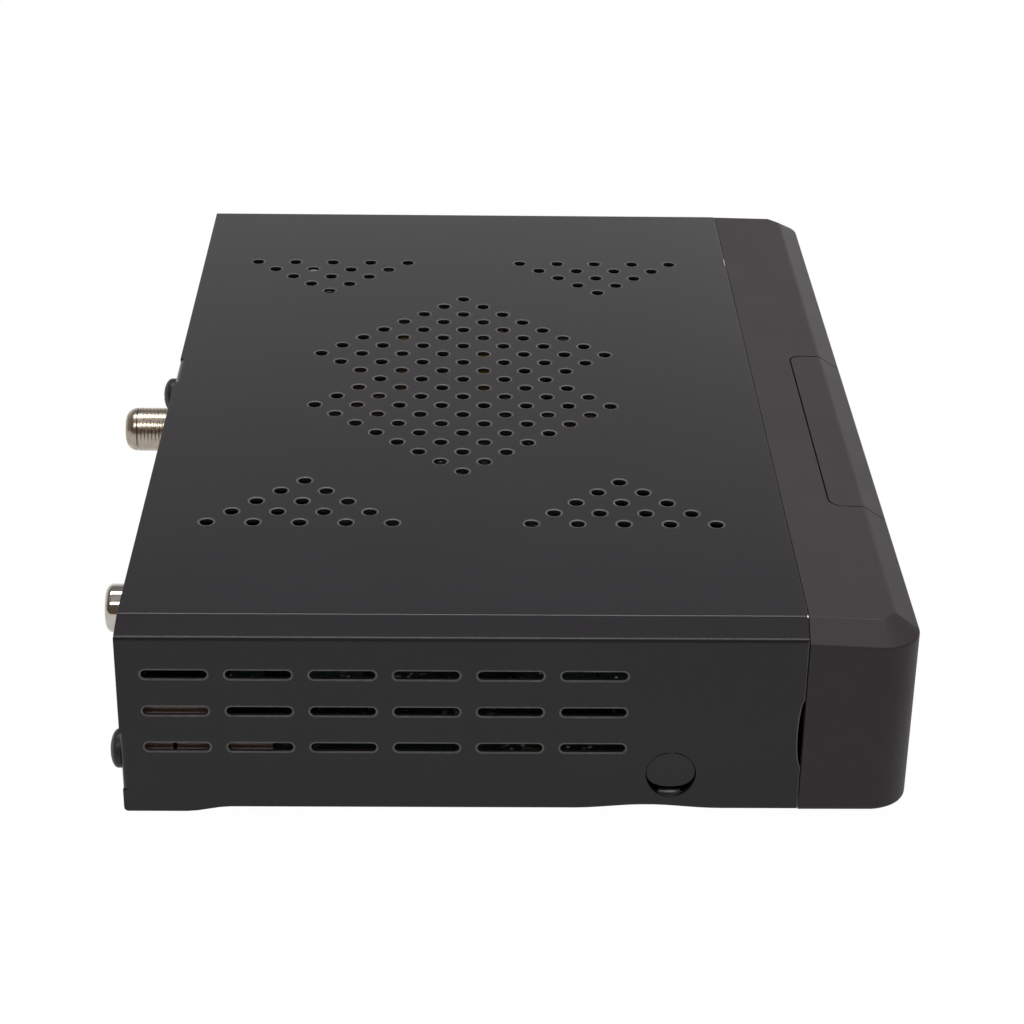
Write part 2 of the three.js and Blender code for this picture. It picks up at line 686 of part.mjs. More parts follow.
const MAIN_SCREWS = boardCorners(MAIN_BOARD);
const POWER_SCREWS = boardCorners(POWER_BOARD).slice(0, 3);
const FEET = {
  foot_front_left: [FOOT_INSET_X - CASE_SIDE, CASE_FRONT + FOOT_INSET_Y],
  foot_front_right: [CASE_SIDE - FOOT_INSET_X, CASE_FRONT + FOOT_INSET_Y],
  foot_rear_left: [FOOT_INSET_X - CASE_SIDE, CASE_REAR - FOOT_INSET_Y],
  foot_rear_right: [CASE_SIDE - FOOT_INSET_X, CASE_REAR - FOOT_INSET_Y],
};

function basePan() {
  const front = CASE_FRONT + FIT;
  const floor = block([-PAN_SIDE, PAN_SIDE], [front, PANEL_REAR], [0, SHEET]);
  const flanges = [-1, 1].map((side) => {
    const edge = side * (PAN_SIDE - SHEET / 2);
    return block(about(edge, SHEET), [front, PANEL_FACE - FIT], [0, PAN_SIDE_FLANGE]);
  });
  const frontFlange = block([-PAN_SIDE, PAN_SIDE], [front, front + SHEET], [0, PAN_FRONT_FLANGE]);
  const bosses = [...MAIN_SCREWS, ...POWER_SCREWS].map((place) => prismZ(
    circle(place, BOSS_DIAMETER, SMALL_ROUND_SIDES),
    0,
    BOARD_UNDERSIDE - FIT,
  ));
  const tabRelief = block(
    [-CASE_SIDE, CASE_SIDE],
    about(TAB_Y, TAB_DIAMETER + 2 * OVERRUN),
    [TAB_Z - TAB_DIAMETER / 2 + TAB_CLEARANCE, PAN_SIDE_FLANGE + OVERRUN],
  );
  const pilots = [...MAIN_SCREWS, ...POWER_SCREWS].map((place) => prismZ(
    circle(place, BOARD_SCREW_SHANK + 2 * FIT, SMALL_ROUND_SIDES),
    SHEET,
    BOARD_UNDERSIDE,
  ));
  const stemHoles = Object.values(FEET).map((place) => prismZ(
    circle(place, FOOT_STEM + 2 * FIT, SMALL_ROUND_SIDES),
    -OVERRUN,
    SHEET + OVERRUN,
  ));
  const tray = join([floor, ...flanges, frontFlange]).subtract(tabRelief);
  add('base_pan', cut(join([tray, ...bosses]), [...pilots, ...stemHoles]), BARE_STEEL);
}

function feet() {
  const pad = prismZ(circle([0, 0], FOOT_DIAMETER, ROUND_SIDES), -FOOT_HEIGHT, -FIT);
  const stem = prismZ(circle([0, 0], FOOT_STEM, SMALL_ROUND_SIDES), -FOOT_HEIGHT / 2, SHEET);
  const foot = pad.add(stem);
  for (const [name, [x, y]] of Object.entries(FEET)) {
    add(name, foot, RUBBER, x, y, 0);
  }
}

function rearPanel() {
  const low = SHEET + FIT;
  const panel = prismY(section(SHEET + FIT, low), PANEL_FACE, PANEL_REAR);
  const range = [PANEL_FACE - OVERRUN, PANEL_REAR + OVERRUN];
  const hole = (x, z, diameter) => prismY(circle([x, z], diameter + 2 * FIT, ROUND_SIDES), ...range);
  const opening = (x, width, height) => block(
    about(x, width + 2 * FIT),
    range,
    [ON_BOARD - FIT, ON_BOARD + height + FIT],
  );
  add('rear_panel', cut(panel, [
    hole(LNB_X, LNB_Z, LNB_DIAMETER),
    hole(COAX_X, COAX_Z, COAX_DIAMETER),
    hole(CASE_WIDTH * AV_SHARE, ON_BOARD + AV_BODY_HEIGHT / 2, AV_DIAMETER),
    opening(CASE_WIDTH * HDMI_SHARE, HDMI_WIDTH, HDMI_HEIGHT),
    opening(CASE_WIDTH * USB_SHARE, USB_WIDTH, USB_HEIGHT),
    opening(CASE_WIDTH * INLET_SHARE, INLET_WIDTH, INLET_HEIGHT),
    ...screwHoles(range),
  ]), PAINTED_STEEL);
}

// Points of a straight line between two points, both ends included
function line([a0, b0], [a1, b1], steps) {
  return Array.from({ length: steps + 1 }, (_, i) => [
    a0 + ((a1 - a0) * i) / steps,
    b0 + ((b1 - b0) * i) / steps,
  ]);
}

// Plan of the front, set inwards on its front and sides, with a chosen rear edge and kind of corner
function fasciaOutline(inset, rear, corner) {
  const side = CASE_SIDE + FASCIA_PROUD;
  const centreX = side + FASCIA_FLARE - FASCIA_CORNER;
  const centreY = FASCIA_FRONT + FASCIA_CORNER;
  const radius = FASCIA_CORNER - inset;
  const right = corner([centreX, centreY], radius);
  const left = right.map(([x, y]) => [-x, y]).reverse();
  return [[-side + inset, rear], ...left, ...right, [side - inset, rear]];
}

function roundCorner(centre, radius) {
  return arc(centre, radius, 1.5 * Math.PI, 2 * Math.PI, FASCIA_CORNER_STEPS);
}

function straightCorner([x, y], radius) {
  return line([x, y - radius], [x + radius, y], FASCIA_CORNER_STEPS);
}

// The front's outer shape, set inwards, with its rear edge at a chosen place
function fasciaBody(inset, rear) {
  const shares = bendShares(FASCIA_BEND_IN, FASCIA_BEND_DROP);
  const upper = FASCIA_BEND_IN + inset * shares.top;
  const round = fasciaOutline(inset, rear, roundCorner);
  return loft([
    { outline: round, z: FASCIA_LIFT + inset },
    { outline: round, z: CASE_HEIGHT - FASCIA_BEND_DROP - inset * shares.side },
    { outline: fasciaOutline(upper, rear, straightCorner), z: CASE_HEIGHT - inset },
  ]);
}

// Section of the door in Y and Z, at one depth below its outer face
function doorFace(inset) {
  const shares = bendShares(FASCIA_BEND_IN, FASCIA_BEND_DROP);
  return [
    [FASCIA_FRONT + inset, CASE_HEIGHT - FASCIA_BEND_DROP - inset * shares.side],
    [FASCIA_TOP_EDGE + inset * shares.top, CASE_HEIGHT - inset],
    [TONGUE_REAR, CASE_HEIGHT - inset],
  ];
}

function frontDoor() {
  const barrel = arc([HINGE_Y, HINGE_Z], DOOR_THICKNESS, Math.PI, 2.5 * Math.PI, DOOR_ARC_STEPS);
  const outline = [...barrel, ...doorFace(DOOR_THICKNESS), ...doorFace(0).reverse()];
  const strip = prismX(outline, DOOR_LEFT, DOOR_RIGHT);
  const plan = roundedRectangle(
    [DOOR_LEFT, DOOR_RIGHT],
    [FASCIA_FRONT - DOOR_CORNER - OVERRUN, TONGUE_REAR],
    DOOR_CORNER,
    DOOR_CORNER_STEPS,
  );
  const panel = strip.intersect(prismZ(plan, 0, CASE_HEIGHT + OVERRUN));
  const reach = SEAM + RECESS_WALL;
  const pins = prismX(
    circle([HINGE_Y, HINGE_Z], PIN_DIAMETER, SMALL_ROUND_SIDES),
    DOOR_LEFT - reach,
    DOOR_RIGHT + reach,
  );
  add('front_door', panel.add(pins), FRONT_PLASTIC);
}

// Centres of the buttons, as X
function buttonCentre(index) {
  return DOOR_LEFT + BUTTON_FIRST_INSET + index * BUTTON_PITCH;
}

// The lip that enters the cover, as a thin copy of the case's section
function fasciaLip() {
  const outer = section(SHEET + FIT, LIP_LOW);
  const inner = section(SHEET + FIT + LIP_THICKNESS, LIP_LOW - OVERRUN);
  const front = FASCIA_REAR - OVERRUN;
  const rear = CASE_FRONT + LIP_LENGTH;
  return prismY(outer, front, rear).subtract(prismY(inner, front - OVERRUN, rear + OVERRUN));
}

const FRONT_SCREWS = [DOOR_RIGHT + FRONT_BOSS_GAP, FRONT_BOARD_RIGHT - FRONT_SCREW_INSET];

function frontFascia() {
  const shell = fasciaBody(0, FASCIA_REAR).subtract(fasciaBody(FASCIA_WALL, FASCIA_REAR + OVERRUN));
  const recessX = [DOOR_LEFT - SEAM, DOOR_RIGHT + SEAM];
  const recessOuterX = [recessX[0] - RECESS_WALL, recessX[1] + RECESS_WALL];
  const lump = fasciaBody(0, FASCIA_REAR).intersect(
    block(recessOuterX, [FASCIA_FRONT, RECESS_BACK], [FASCIA_LIFT, CASE_HEIGHT]),
  );
  const bossRange = [FASCIA_FRONT + FASCIA_WALL / 2, FRONT_BOARD_FACE - FIT];
  const bosses = FRONT_SCREWS.map((x) => prismY(
    circle([x, FRONT_SCREW_Z], FRONT_BOSS_DIAMETER, SMALL_ROUND_SIDES),
    ...bossRange,
  ));
  const peg = prismY(
    circle([FRONT_BOARD_LEFT + FRONT_SCREW_INSET, FRONT_SCREW_Z], FRONT_BOSS_DIAMETER, SMALL_ROUND_SIDES),
    RECESS_BACK - RECESS_WALL / 2,
    FRONT_BOARD_FACE - FIT,
  );
  const body = join([shell, lump, ...bosses, peg, fasciaLip()]);
  const recess = block(recessX, [FASCIA_FRONT - OVERRUN, RECESS_REAR], [RECESS_FLOOR, CASE_HEIGHT + OVERRUN]);
  const pinHole = prismX(
    circle([HINGE_Y, HINGE_Z], PIN_DIAMETER + 2 * FIT, SMALL_ROUND_SIDES),
    recessOuterX[0] - OVERRUN,
    recessOuterX[1] + OVERRUN,
  );
  const wallRange = [RECESS_REAR - OVERRUN, RECESS_BACK + OVERRUN];
  const buttonHoles = BUTTON_NAMES.map((_, i) => block(
    about(buttonCentre(i), BUTTON_WIDTH + 2 * FIT),
    wallRange,
    about(BUTTON_Z, BUTTON_HEIGHT + 2 * FIT),
  ));
  const cardSlot = block(
    about((READER_LEFT + READER_RIGHT) / 2, CARD_SLOT_WIDTH),
    wallRange,
    about(CARD_SLOT_Z, CARD_SLOT_HEIGHT),
  );
  const window = block(
    [WINDOW_LEFT - FIT, WINDOW_LEFT + WINDOW_WIDTH + FIT],
    [FASCIA_FRONT - OVERRUN, FASCIA_FRONT + FASCIA_WALL + OVERRUN],
    [WINDOW_LOW - FIT, WINDOW_LOW + WINDOW_HEIGHT + FIT],
  );
  const pilots = FRONT_SCREWS.map((x) => prismY(
    circle([x, FRONT_SCREW_Z], BOARD_SCREW_SHANK + 2 * FIT, SMALL_ROUND_SIDES),
    FRONT_BOARD_FACE - BOARD_SCREW_LENGTH - FIT,
    FRONT_BOARD_FACE,
  ));
  const cutters = [recess, pinHole, ...buttonHoles, cardSlot, window, ...pilots];
  add('front_fascia', cut(body, cutters), FRONT_PLASTIC);
}

// Buttons, with a flange behind the recess wall, and the switch behind each
function buttons() {
  const cap = prismY(
    roundedRectangle(about(0, BUTTON_WIDTH), about(0, BUTTON_HEIGHT), BUTTON_ROUND, BUTTON_ROUND_STEPS),
    RECESS_REAR - BUTTON_PROUD,
    RECESS_BACK + FIT + BUTTON_FLANGE,
  );
  const flange = block(
    about(0, BUTTON_WIDTH + 2 * BUTTON_FLANGE),
    [RECESS_BACK + FIT, RECESS_BACK + FIT + BUTTON_FLANGE],
    about(0, BUTTON_HEIGHT + 2 * BUTTON_FLANGE),
  );
  const button = cap.add(flange);
  const switchRear = FRONT_BOARD_FACE - FIT;
  const switchFront = switchRear - SWITCH_DEPTH;
  const housing = block(about(0, SWITCH_SIZE), [switchFront, switchRear], about(0, SWITCH_SIZE));
  const plunger = prismY(
    circle([0, 0], SWITCH_PLUNGER, SMALL_ROUND_SIDES),
    switchFront - SWITCH_PLUNGER_DEPTH,
    switchRear - SWITCH_DEPTH / 2,
  );
  const tactSwitch = housing.add(plunger);
  BUTTON_NAMES.forEach((name, i) => {
    add(name, button, BLACK_PLASTIC, buttonCentre(i), 0, BUTTON_Z);
    add(`tact_switch_${i + 1}`, tactSwitch, BLACK_PLASTIC, buttonCentre(i), 0, BUTTON_Z);
  });
}

function displayParts() {
  const windowFront = FASCIA_FRONT + WINDOW_SET_BACK;
  add('display_window', prismY(
    roundedRectangle([0, WINDOW_WIDTH], [0, WINDOW_HEIGHT], WINDOW_CORNER, WINDOW_CORNER_STEPS),
    windowFront,
    FASCIA_FRONT + FASCIA_WALL,
  ), SMOKED, WINDOW_LEFT, 0, WINDOW_LOW);
  const rear = FRONT_BOARD_FACE - FIT;
  const middle = WINDOW_LOW + WINDOW_HEIGHT / 2;
  const windowRight = WINDOW_LEFT + WINDOW_WIDTH;
  add('display_module', block(
    [DISPLAY_INSET, WINDOW_WIDTH - DISPLAY_REST],
    [-DISPLAY_DEPTH, 0],
    about(0, WINDOW_HEIGHT - 2 * DISPLAY_INSET),
  ), BLACK_PLASTIC, WINDOW_LEFT, rear, middle);
  const infrared = block(about(0, INFRARED_WIDTH), [-INFRARED_DEPTH, 0], about(0, INFRARED_HEIGHT));
  const lens = prismY(
    circle([0, 0], INFRARED_LENS, SMALL_ROUND_SIDES),
    -INFRARED_DEPTH - INFRARED_LENS_PROUD,
    -INFRARED_DEPTH / 2,
  );
  add('ir_receiver', infrared.add(lens), CHIP, windowRight - INFRARED_INSET, rear, middle);
  add('standby_led', turned([
    [0, -LED_LENGTH],
    [LED_DIAMETER / 4, -LED_LENGTH + LED_DIAMETER / 8],
    [LED_DIAMETER / 2, -LED_LENGTH + LED_DIAMETER / 2],
    [LED_DIAMETER / 2, 0],
    [0, 0],
  ], SMALL_ROUND_SIDES, 0, 0), RED_LENS, windowRight - LED_INSET, rear, middle);
}

function boardScrew() {
  const sizes = {
    head: BOARD_SCREW_HEAD,
    rim: BOARD_SCREW_RIM,
    shank: BOARD_SCREW_SHANK,
    length: BOARD_SCREW_LENGTH,
  };
  return screw(sizes, [[0, BOARD_SCREW_RIM]]);
}

function frontBoard() {
  const board = block(
    [FRONT_BOARD_LEFT, FRONT_BOARD_RIGHT],
    [FRONT_BOARD_FACE, FRONT_BOARD_BACK],
    [FRONT_BOARD_LOW, FRONT_BOARD_HIGH],
  );
  const holes = FRONT_SCREWS.map((x) => prismY(
    circle([x, FRONT_SCREW_Z], BOARD_SCREW_SHANK + 2 * FIT, SMALL_ROUND_SIDES),
    FRONT_BOARD_FACE - OVERRUN,
    FRONT_BOARD_BACK + OVERRUN,
  ));
  add('front_board', cut(board, holes), GREEN_BOARD);
  const body = boardScrew();
  FRONT_SCREWS.forEach((x, i) => {
    add(`front_board_screw_${i + 1}`, body, BARE_STEEL, x, FRONT_BOARD_BACK + FIT, FRONT_SCREW_Z);
  });
}

// A flat board with its screws standing on the pan's bosses
function floorBoard(name, look, { x, y }, places) {
  const board = block(x, y, [BOARD_UNDERSIDE, BOARD_TOP]);
  const holes = places.map((place) => prismZ(
    circle(place, BOARD_SCREW_SHANK + 2 * FIT, SMALL_ROUND_SIDES),
    BOARD_UNDERSIDE - OVERRUN,
    BOARD_TOP + OVERRUN,
  ));
  add(name, cut(board, holes), look);
  const body = boardScrew();
  places.forEach((place, i) => {
    addUpright(`${name}_screw_${i + 1}`, body, BARE_STEEL, ...place, ON_BOARD);
  });
}

function cardReader() {
  const body = block(
    [READER_LEFT, READER_RIGHT],
    [READER_FRONT, READER_FRONT + READER_LENGTH],
    [ON_BOARD, ON_BOARD + READER_HEIGHT],
  );
  const slot = block(
    about((READER_LEFT + READER_RIGHT) / 2, CARD_SLOT_WIDTH),
    [READER_FRONT - OVERRUN, READER_FRONT + CARD_SLOT_DEPTH],
    about(CARD_SLOT_Z, CARD_SLOT_HEIGHT),
  );
  add('card_reader', body.subtract(slot), BLACK_PLASTIC);
}

function heatSink() {
  const base = block(about(0, SINK_SIZE), about(0, SINK_SIZE), [0, SINK_BASE]);
  const pitch = (SINK_SIZE - SINK_FIN) / (SINK_FINS - 1);
  const fins = Array.from({ length: SINK_FINS }, (_, i) => block(
    about((i - (SINK_FINS - 1) / 2) * pitch, SINK_FIN),
    about(0, SINK_SIZE),
    [SINK_BASE / 2, SINK_HEIGHT],
  ));
  return join([base, ...fins]);
}

function mainBoardParts() {
  const processor = onBoard(MAIN_BOARD, PROCESSOR_SHARES);
  add('processor', block(
    about(0, PROCESSOR_SIZE),
    about(0, PROCESSOR_SIZE),
    [0, PROCESSOR_HEIGHT],
  ), CHIP, ...processor, ON_BOARD);
  add('heat_sink', heatSink(), ALUMINIUM, ...processor, ON_BOARD + PROCESSOR_HEIGHT + FIT);
  add('memory_chip', block(
    about(0, MEMORY_WIDTH),
    about(0, MEMORY_LENGTH),
    [0, MEMORY_HEIGHT],
  ), CHIP, ...onBoard(MAIN_BOARD, MEMORY_SHARES), ON_BOARD);
  add('tuner_can', block(
    [-TUNER_LEFT, MAIN_BOARD.x[1] - TUNER_RIGHT_GAP - LNB_X],
    [-TUNER_DEPTH, 0],
    [0, HEADROOM * TUNER_HEIGHT_SHARE],
  ), TIN, LNB_X, PANEL_FACE - FIT, ON_BOARD);
}

// Antenna connector: a barrel with a rounded tip, seated on the tuner can
function lnbConnector() {
  const tip = CASE_REAR + LNB_PROUD;
  const radius = LNB_DIAMETER / 2;
  const shoulder = radius - LNB_TIP_DIAMETER / 2;
  const rounding = LNB_TIP_SHARES.map(([inShare, backShare]) => [
    radius - shoulder * inShare,
    tip - LNB_TIP_LENGTH * backShare,
  ]);
  add('lnb_connector', turned([
    [0, PANEL_FACE],
    [radius, PANEL_FACE],
    [radius, tip - LNB_TIP_LENGTH],
    ...rounding,
    [radius - shoulder, tip],
    [LNB_MOUTH / 2, tip],
    [LNB_MOUTH / 2, tip - LNB_MOUTH_DEPTH],
    [0, tip - LNB_MOUTH_DEPTH],
  ], ROUND_SIDES, LNB_X, LNB_Z), NICKEL);
  const seat = PANEL_REAR + FIT;
  const nut = prismY(circle([0, 0], NUT_ACROSS, NUT_SIDES), seat, seat + NUT_THICKNESS);
  const bore = prismY(
    circle([0, 0], LNB_DIAMETER + 2 * FIT, ROUND_SIDES),
    seat - OVERRUN,
    seat + NUT_THICKNESS + OVERRUN,
  );
  add('lnb_nut', nut.subtract(bore), NICKEL, LNB_X, 0, LNB_Z);
}

// Coaxial jack: a smooth shell with a rolled lip and a centre pin, on a block on the board
function coaxJack() {
  const tip = CASE_REAR + COAX_PROUD;
  const radius = COAX_DIAMETER / 2;
  const lip = arc([radius - COAX_LIP, tip - COAX_LIP], COAX_LIP, 0, Math.PI / 2, COAX_LIP_STEPS);
  const floor = tip - COAX_BORE_DEPTH;
  const shell = turned([
    [0, PANEL_FACE - FIT - OVERRUN],
    [radius, PANEL_FACE - FIT - OVERRUN],
    ...lip,
    [COAX_BORE / 2, tip - COAX_LIP / 2],
    [COAX_BORE / 2, floor],
    [COAX_PIN / 2, floor],
    [COAX_PIN / 2, tip - COAX_LIP],
    [0, tip - COAX_LIP],
  ], ROUND_SIDES, COAX_X, COAX_Z);
  const base = block(
    about(COAX_X, COAX_BODY_WIDTH),
    [PANEL_FACE - FIT - COAX_BODY_DEPTH, PANEL_FACE - FIT],
    [ON_BOARD, COAX_Z + COAX_BODY_WIDTH / 2],
  );
  add('coax_jack', shell.add(base), CHROME);
}

// A shielded socket with a hollow mouth and a contact tongue, flush with the rear panel
function shieldedSocket(name, x, width, height, corner) {
  const rear = PANEL_REAR;
  const outline = roundedRectangle(about(0, width), [0, height], corner, 1);
  const shell = prismY(outline, rear - SOCKET_DEPTH, rear);
  const mouth = block(
    about(0, width - 2 * corner),
    [rear - SOCKET_HOLLOW, rear + OVERRUN],
    [SOCKET_SHELL, height - SOCKET_SHELL],
  );
  const tongue = block(
    about(0, width - 2 * corner - 4 * SOCKET_SHELL),
    [rear - SOCKET_HOLLOW - SOCKET_SHELL, rear - SOCKET_SHELL],
    about(height / 2, SOCKET_TONGUE),
  );
  add(name, shell.subtract(mouth).add(tongue), TIN, x, 0, ON_BOARD);
}

function avJack() {
  const rear = PANEL_FACE - FIT;
  const middle = AV_BODY_HEIGHT / 2;
  const body = block(about(0, AV_BODY_WIDTH), [rear - AV_BODY_DEPTH, rear], [0, AV_BODY_HEIGHT]);
  const collar = prismY(circle([0, middle], AV_DIAMETER, ROUND_SIDES), rear - OVERRUN, CASE_REAR);
  const bore = prismY(
    circle([0, middle], AV_BORE, SMALL_ROUND_SIDES),
    CASE_REAR - AV_BORE_DEPTH,
    CASE_REAR + OVERRUN,
  );
  add('av_jack', body.add(collar).subtract(bore), BLACK_PLASTIC, CASE_WIDTH * AV_SHARE, 0, ON_BOARD);
}

// Mains inlet with two pins in a figure-eight hollow
function mainsInlet() {
  const outside = PANEL_REAR + FIT;
  const rear = outside + INLET_FLANGE_THICKNESS;
  const middle = INLET_HEIGHT / 2;
  const body = block(about(0, INLET_WIDTH), [rear - INLET_DEPTH, rear], [0, INLET_HEIGHT]);
  const flange = block(
    about(0, INLET_WIDTH + 2 * INLET_FLANGE),
    [outside, rear],
    [-INLET_FLANGE / 2, INLET_HEIGHT + INLET_FLANGE],
  );
  const floor = rear - INLET_HOLLOW_DEPTH;
  const hollow = prismY(
    stadium([0, middle], INLET_HOLLOW_WIDTH, INLET_HOLLOW_HEIGHT, SOCKET_ROUND_STEPS),
    floor,
    rear + OVERRUN,
  );
  const pins = [-1, 1].map((side) => prismY(
    circle([(side * INLET_PIN_SPACING) / 2, middle], INLET_PIN, SMALL_ROUND_SIDES),
    floor - OVERRUN,
    rear - INLET_PIN,
  ));
  const inlet = join([body.add(flange).subtract(hollow), ...pins]);
  add('mains_inlet', inlet, BLACK_PLASTIC, CASE_WIDTH * INLET_SHARE, 0, ON_BOARD);
}

// A can standing on a board, with a groove near its foot
function standingCan(diameter, height) {
  const radius = diameter / 2;
  return turned([
    [0, 0],
    [radius, 0],
    [radius, CAN_GROOVE_HEIGHT - CAN_GROOVE],
    [radius - CAN_GROOVE, CAN_GROOVE_HEIGHT],
    [radius, CAN_GROOVE_HEIGHT + CAN_GROOVE],
    [radius, height],
    [0, height],
  ], ROUND_SIDES, 0, 0);
}

function powerBoardParts() {
  const coreHeight = HEADROOM * CORE_HEIGHT_SHARE;
  const core = block(about(0, CORE_WIDTH), about(0, CORE_DEPTH - 2 * WINDING_INSET), [0, coreHeight]);
  const winding = block(
    about(0, CORE_WIDTH - 2 * WINDING_INSET),
    about(0, CORE_DEPTH + 2 * WINDING_OVERHANG),
    [0, coreHeight - WINDING_INSET],
  );
  const place = (shares) => [...onBoard(POWER_BOARD, shares), ON_BOARD];
  add('transformer', core.add(winding), TAPE, ...place(TRANSFORMER_SHARES));
  const bulk = standingCan(BULK_DIAMETER, HEADROOM * BULK_HEIGHT_SHARE);
  addUpright('bulk_capacitor', bulk, BLUE_SLEEVE, ...place(BULK_SHARES));
  const output = standingCan(OUTPUT_DIAMETER, HEADROOM * OUTPUT_HEIGHT_SHARE);
  OUTPUT_SHARES.forEach((shares, i) => {
    addUpright(`output_capacitor_${i + 1}`, output, BLUE_SLEEVE, ...place(shares));
  });
  const plate = block(about(0, PLATE_WIDTH), about(0, PLATE_THICKNESS), [0, HEADROOM * PLATE_HEIGHT_SHARE]);
  const foot = block(about(0, PLATE_WIDTH), [-PLATE_THICKNESS / 2, PLATE_FOOT], [0, PLATE_THICKNESS]);
  add('power_heat_sink', plate.add(foot), ALUMINIUM, ...place(PLATE_SHARES));
}

// The flat cable, as one bend from the back of the front board to the main board
function linkCable() {
  const back = FRONT_BOARD_BACK + FIT;
  const low = ON_BOARD;
  const boardFront = MAIN_BOARD.y[0];
  const reach = boardFront + CABLE_REACH;
  const bend = (boardFront - back) / 2;
  const centre = [back + bend, low + bend];
  const outline = [
    [back, low + CABLE_HEIGHT],
    ...arc(centre, bend, Math.PI, 1.5 * Math.PI, CABLE_BEND_STEPS),
    [reach, low],
    [reach, low + CABLE_THICKNESS],
    ...arc(centre, bend - CABLE_THICKNESS, 1.5 * Math.PI, Math.PI, CABLE_BEND_STEPS),
    [back + CABLE_THICKNESS, low + CABLE_HEIGHT],
  ];
  const screwLeft = MAIN_BOARD.x[1] - BOARD_SCREW_INSET - BOARD_SCREW_HEAD / 2;
  const middle = (READER_RIGHT + screwLeft) / 2;
  add('link_cable', prismX(outline, ...about(middle, CABLE_WIDTH)), CABLE_GREY);
}

topCover();
basePan();
rearPanel();
feet();
caseScrews();
frontFascia();
frontDoor();
buttons();
displayParts();
frontBoard();
floorBoard('main_board', GREEN_BOARD, MAIN_BOARD, MAIN_SCREWS);
floorBoard('power_board', BROWN_BOARD, POWER_BOARD, POWER_SCREWS);
cardReader();
mainBoardParts();
lnbConnector();
coaxJack();
shieldedSocket('hdmi_socket', CASE_WIDTH * HDMI_SHARE, HDMI_WIDTH, HDMI_HEIGHT, HDMI_CORNER);
shieldedSocket('usb_socket', CASE_WIDTH * USB_SHARE, USB_WIDTH, USB_HEIGHT, SOCKET_SHELL);
avJack();
mainsInlet();
powerBoardParts();
linkCable();

export default receiver;
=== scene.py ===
"""Looks of the satellite television receiver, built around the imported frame.

A piece is drawn from rows of (function, arguments), and each row adds a shape to its mesh.
"""

import math
import random

import bmesh
import bpy
from mathutils import Matrix, Vector
from mathutils.geometry import delaunay_2d_cdt


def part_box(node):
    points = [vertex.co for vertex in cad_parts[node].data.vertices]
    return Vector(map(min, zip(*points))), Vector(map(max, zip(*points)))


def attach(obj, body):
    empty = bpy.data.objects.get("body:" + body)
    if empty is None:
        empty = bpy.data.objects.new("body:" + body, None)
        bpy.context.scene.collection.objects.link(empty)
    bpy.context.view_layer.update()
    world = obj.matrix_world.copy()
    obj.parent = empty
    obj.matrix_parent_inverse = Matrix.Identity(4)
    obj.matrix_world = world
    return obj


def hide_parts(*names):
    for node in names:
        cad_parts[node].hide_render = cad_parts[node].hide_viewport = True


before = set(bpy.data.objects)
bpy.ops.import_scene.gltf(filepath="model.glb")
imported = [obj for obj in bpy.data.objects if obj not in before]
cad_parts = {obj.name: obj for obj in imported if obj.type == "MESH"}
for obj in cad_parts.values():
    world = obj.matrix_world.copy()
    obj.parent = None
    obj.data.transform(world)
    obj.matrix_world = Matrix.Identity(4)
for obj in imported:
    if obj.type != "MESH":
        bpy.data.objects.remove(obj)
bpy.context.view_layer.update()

MM = 0.001
PI = math.pi

# Sizes of the case, read from the frame
COVER_LOW, COVER_HIGH = (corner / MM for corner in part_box("top_cover"))
SHIFT = Vector((0, (COVER_LOW.y + COVER_HIGH.y) / 2, COVER_LOW.z))
HALF_WIDTH = COVER_HIGH.x
FRONT = COVER_LOW.y - SHIFT.y
REAR = COVER_HIGH.y - SHIFT.y
HEIGHT = COVER_HIGH.z - COVER_LOW.z
SHEET = 0.8
BEND_IN = 3.75
BEND_DROP = 3.15
BEND_RADIUS = 1.0
LOW_BEND_RADIUS = 1.55
FIT = 0.3  # between parts that fit into each other

# Vents, slots and the round tab of the cover
VENT_PITCH = 8.8
VENT_RADIUS = 1.33
VENT_RIM = 0.37
SLOT_RIM = 0.33
VENT_CENTRE = (1.6, 0.4)
DIAMOND_ROWS = (1, 2, 3, 4, 5, 6, 7, 8, 7, 6, 5, 6, 7, 8, 7, 6, 5, 4, 3, 2, 1)
TRIANGLE_ROWS = (5, 4, 3, 2, 1)
TRIANGLE_FIRST_ROW = 15
TRIANGLE_SHIFT = 3.5
SLOT_PITCH = (15.0, 7.6)
SLOT_SIZE = (11.8, 1.7)
SLOT_FIRST = (REAR - 9.9, 13.2)
TAB_CENTRE = (FRONT + 23.5, 7.8)
TAB_RADIUS = 4.6
TAB_GAP = 0.14
TAB_CRESCENT = 1.1
TAB_SAG = 0.45
TAB_TILT = math.radians(6)
RELIEF = (9.5, 23.5, 0.9)  # of the front edge at the sides: from, to, and depth

# Plastic front
FASCIA_REAR = FRONT - 0.14
FASCIA_FRONT = FRONT - 20.4
FASCIA_BEND_IN = 4.5
FASCIA_BEND_DROP = 3.5
FASCIA_TOP_EDGE = FASCIA_FRONT + FASCIA_BEND_IN
FASCIA_SIDE = HALF_WIDTH + 0.5
FASCIA_FLARE = 1.0
FASCIA_CORNER = 7.0
FASCIA_BASE = 1.0
FASCIA_WALL = 2.0
DOOR_X = (-55.6, 15.4)
DOOR_THICKNESS = 1.8
DOOR_CORNER = 2.5
TONGUE_REAR = FASCIA_TOP_EDGE + 6.5
SEAM = 0.28
RECESS_REAR = TONGUE_REAR + 0.4
RECESS_BACK = RECESS_REAR + 1.6
RECESS_FLOOR = 3.0
HINGE = (FASCIA_FRONT + DOOR_THICKNESS, 5.1)
BUTTON_X = (-45.6, -30.6, -15.6)
BUTTON_Z = 24.0
WINDOW_X = (24.0, 84.0)
WINDOW_Z = (12.0, 30.0)
CARD_X = (-50.1, 4.9)
CARD_SLOT = (9.4, 11.0)
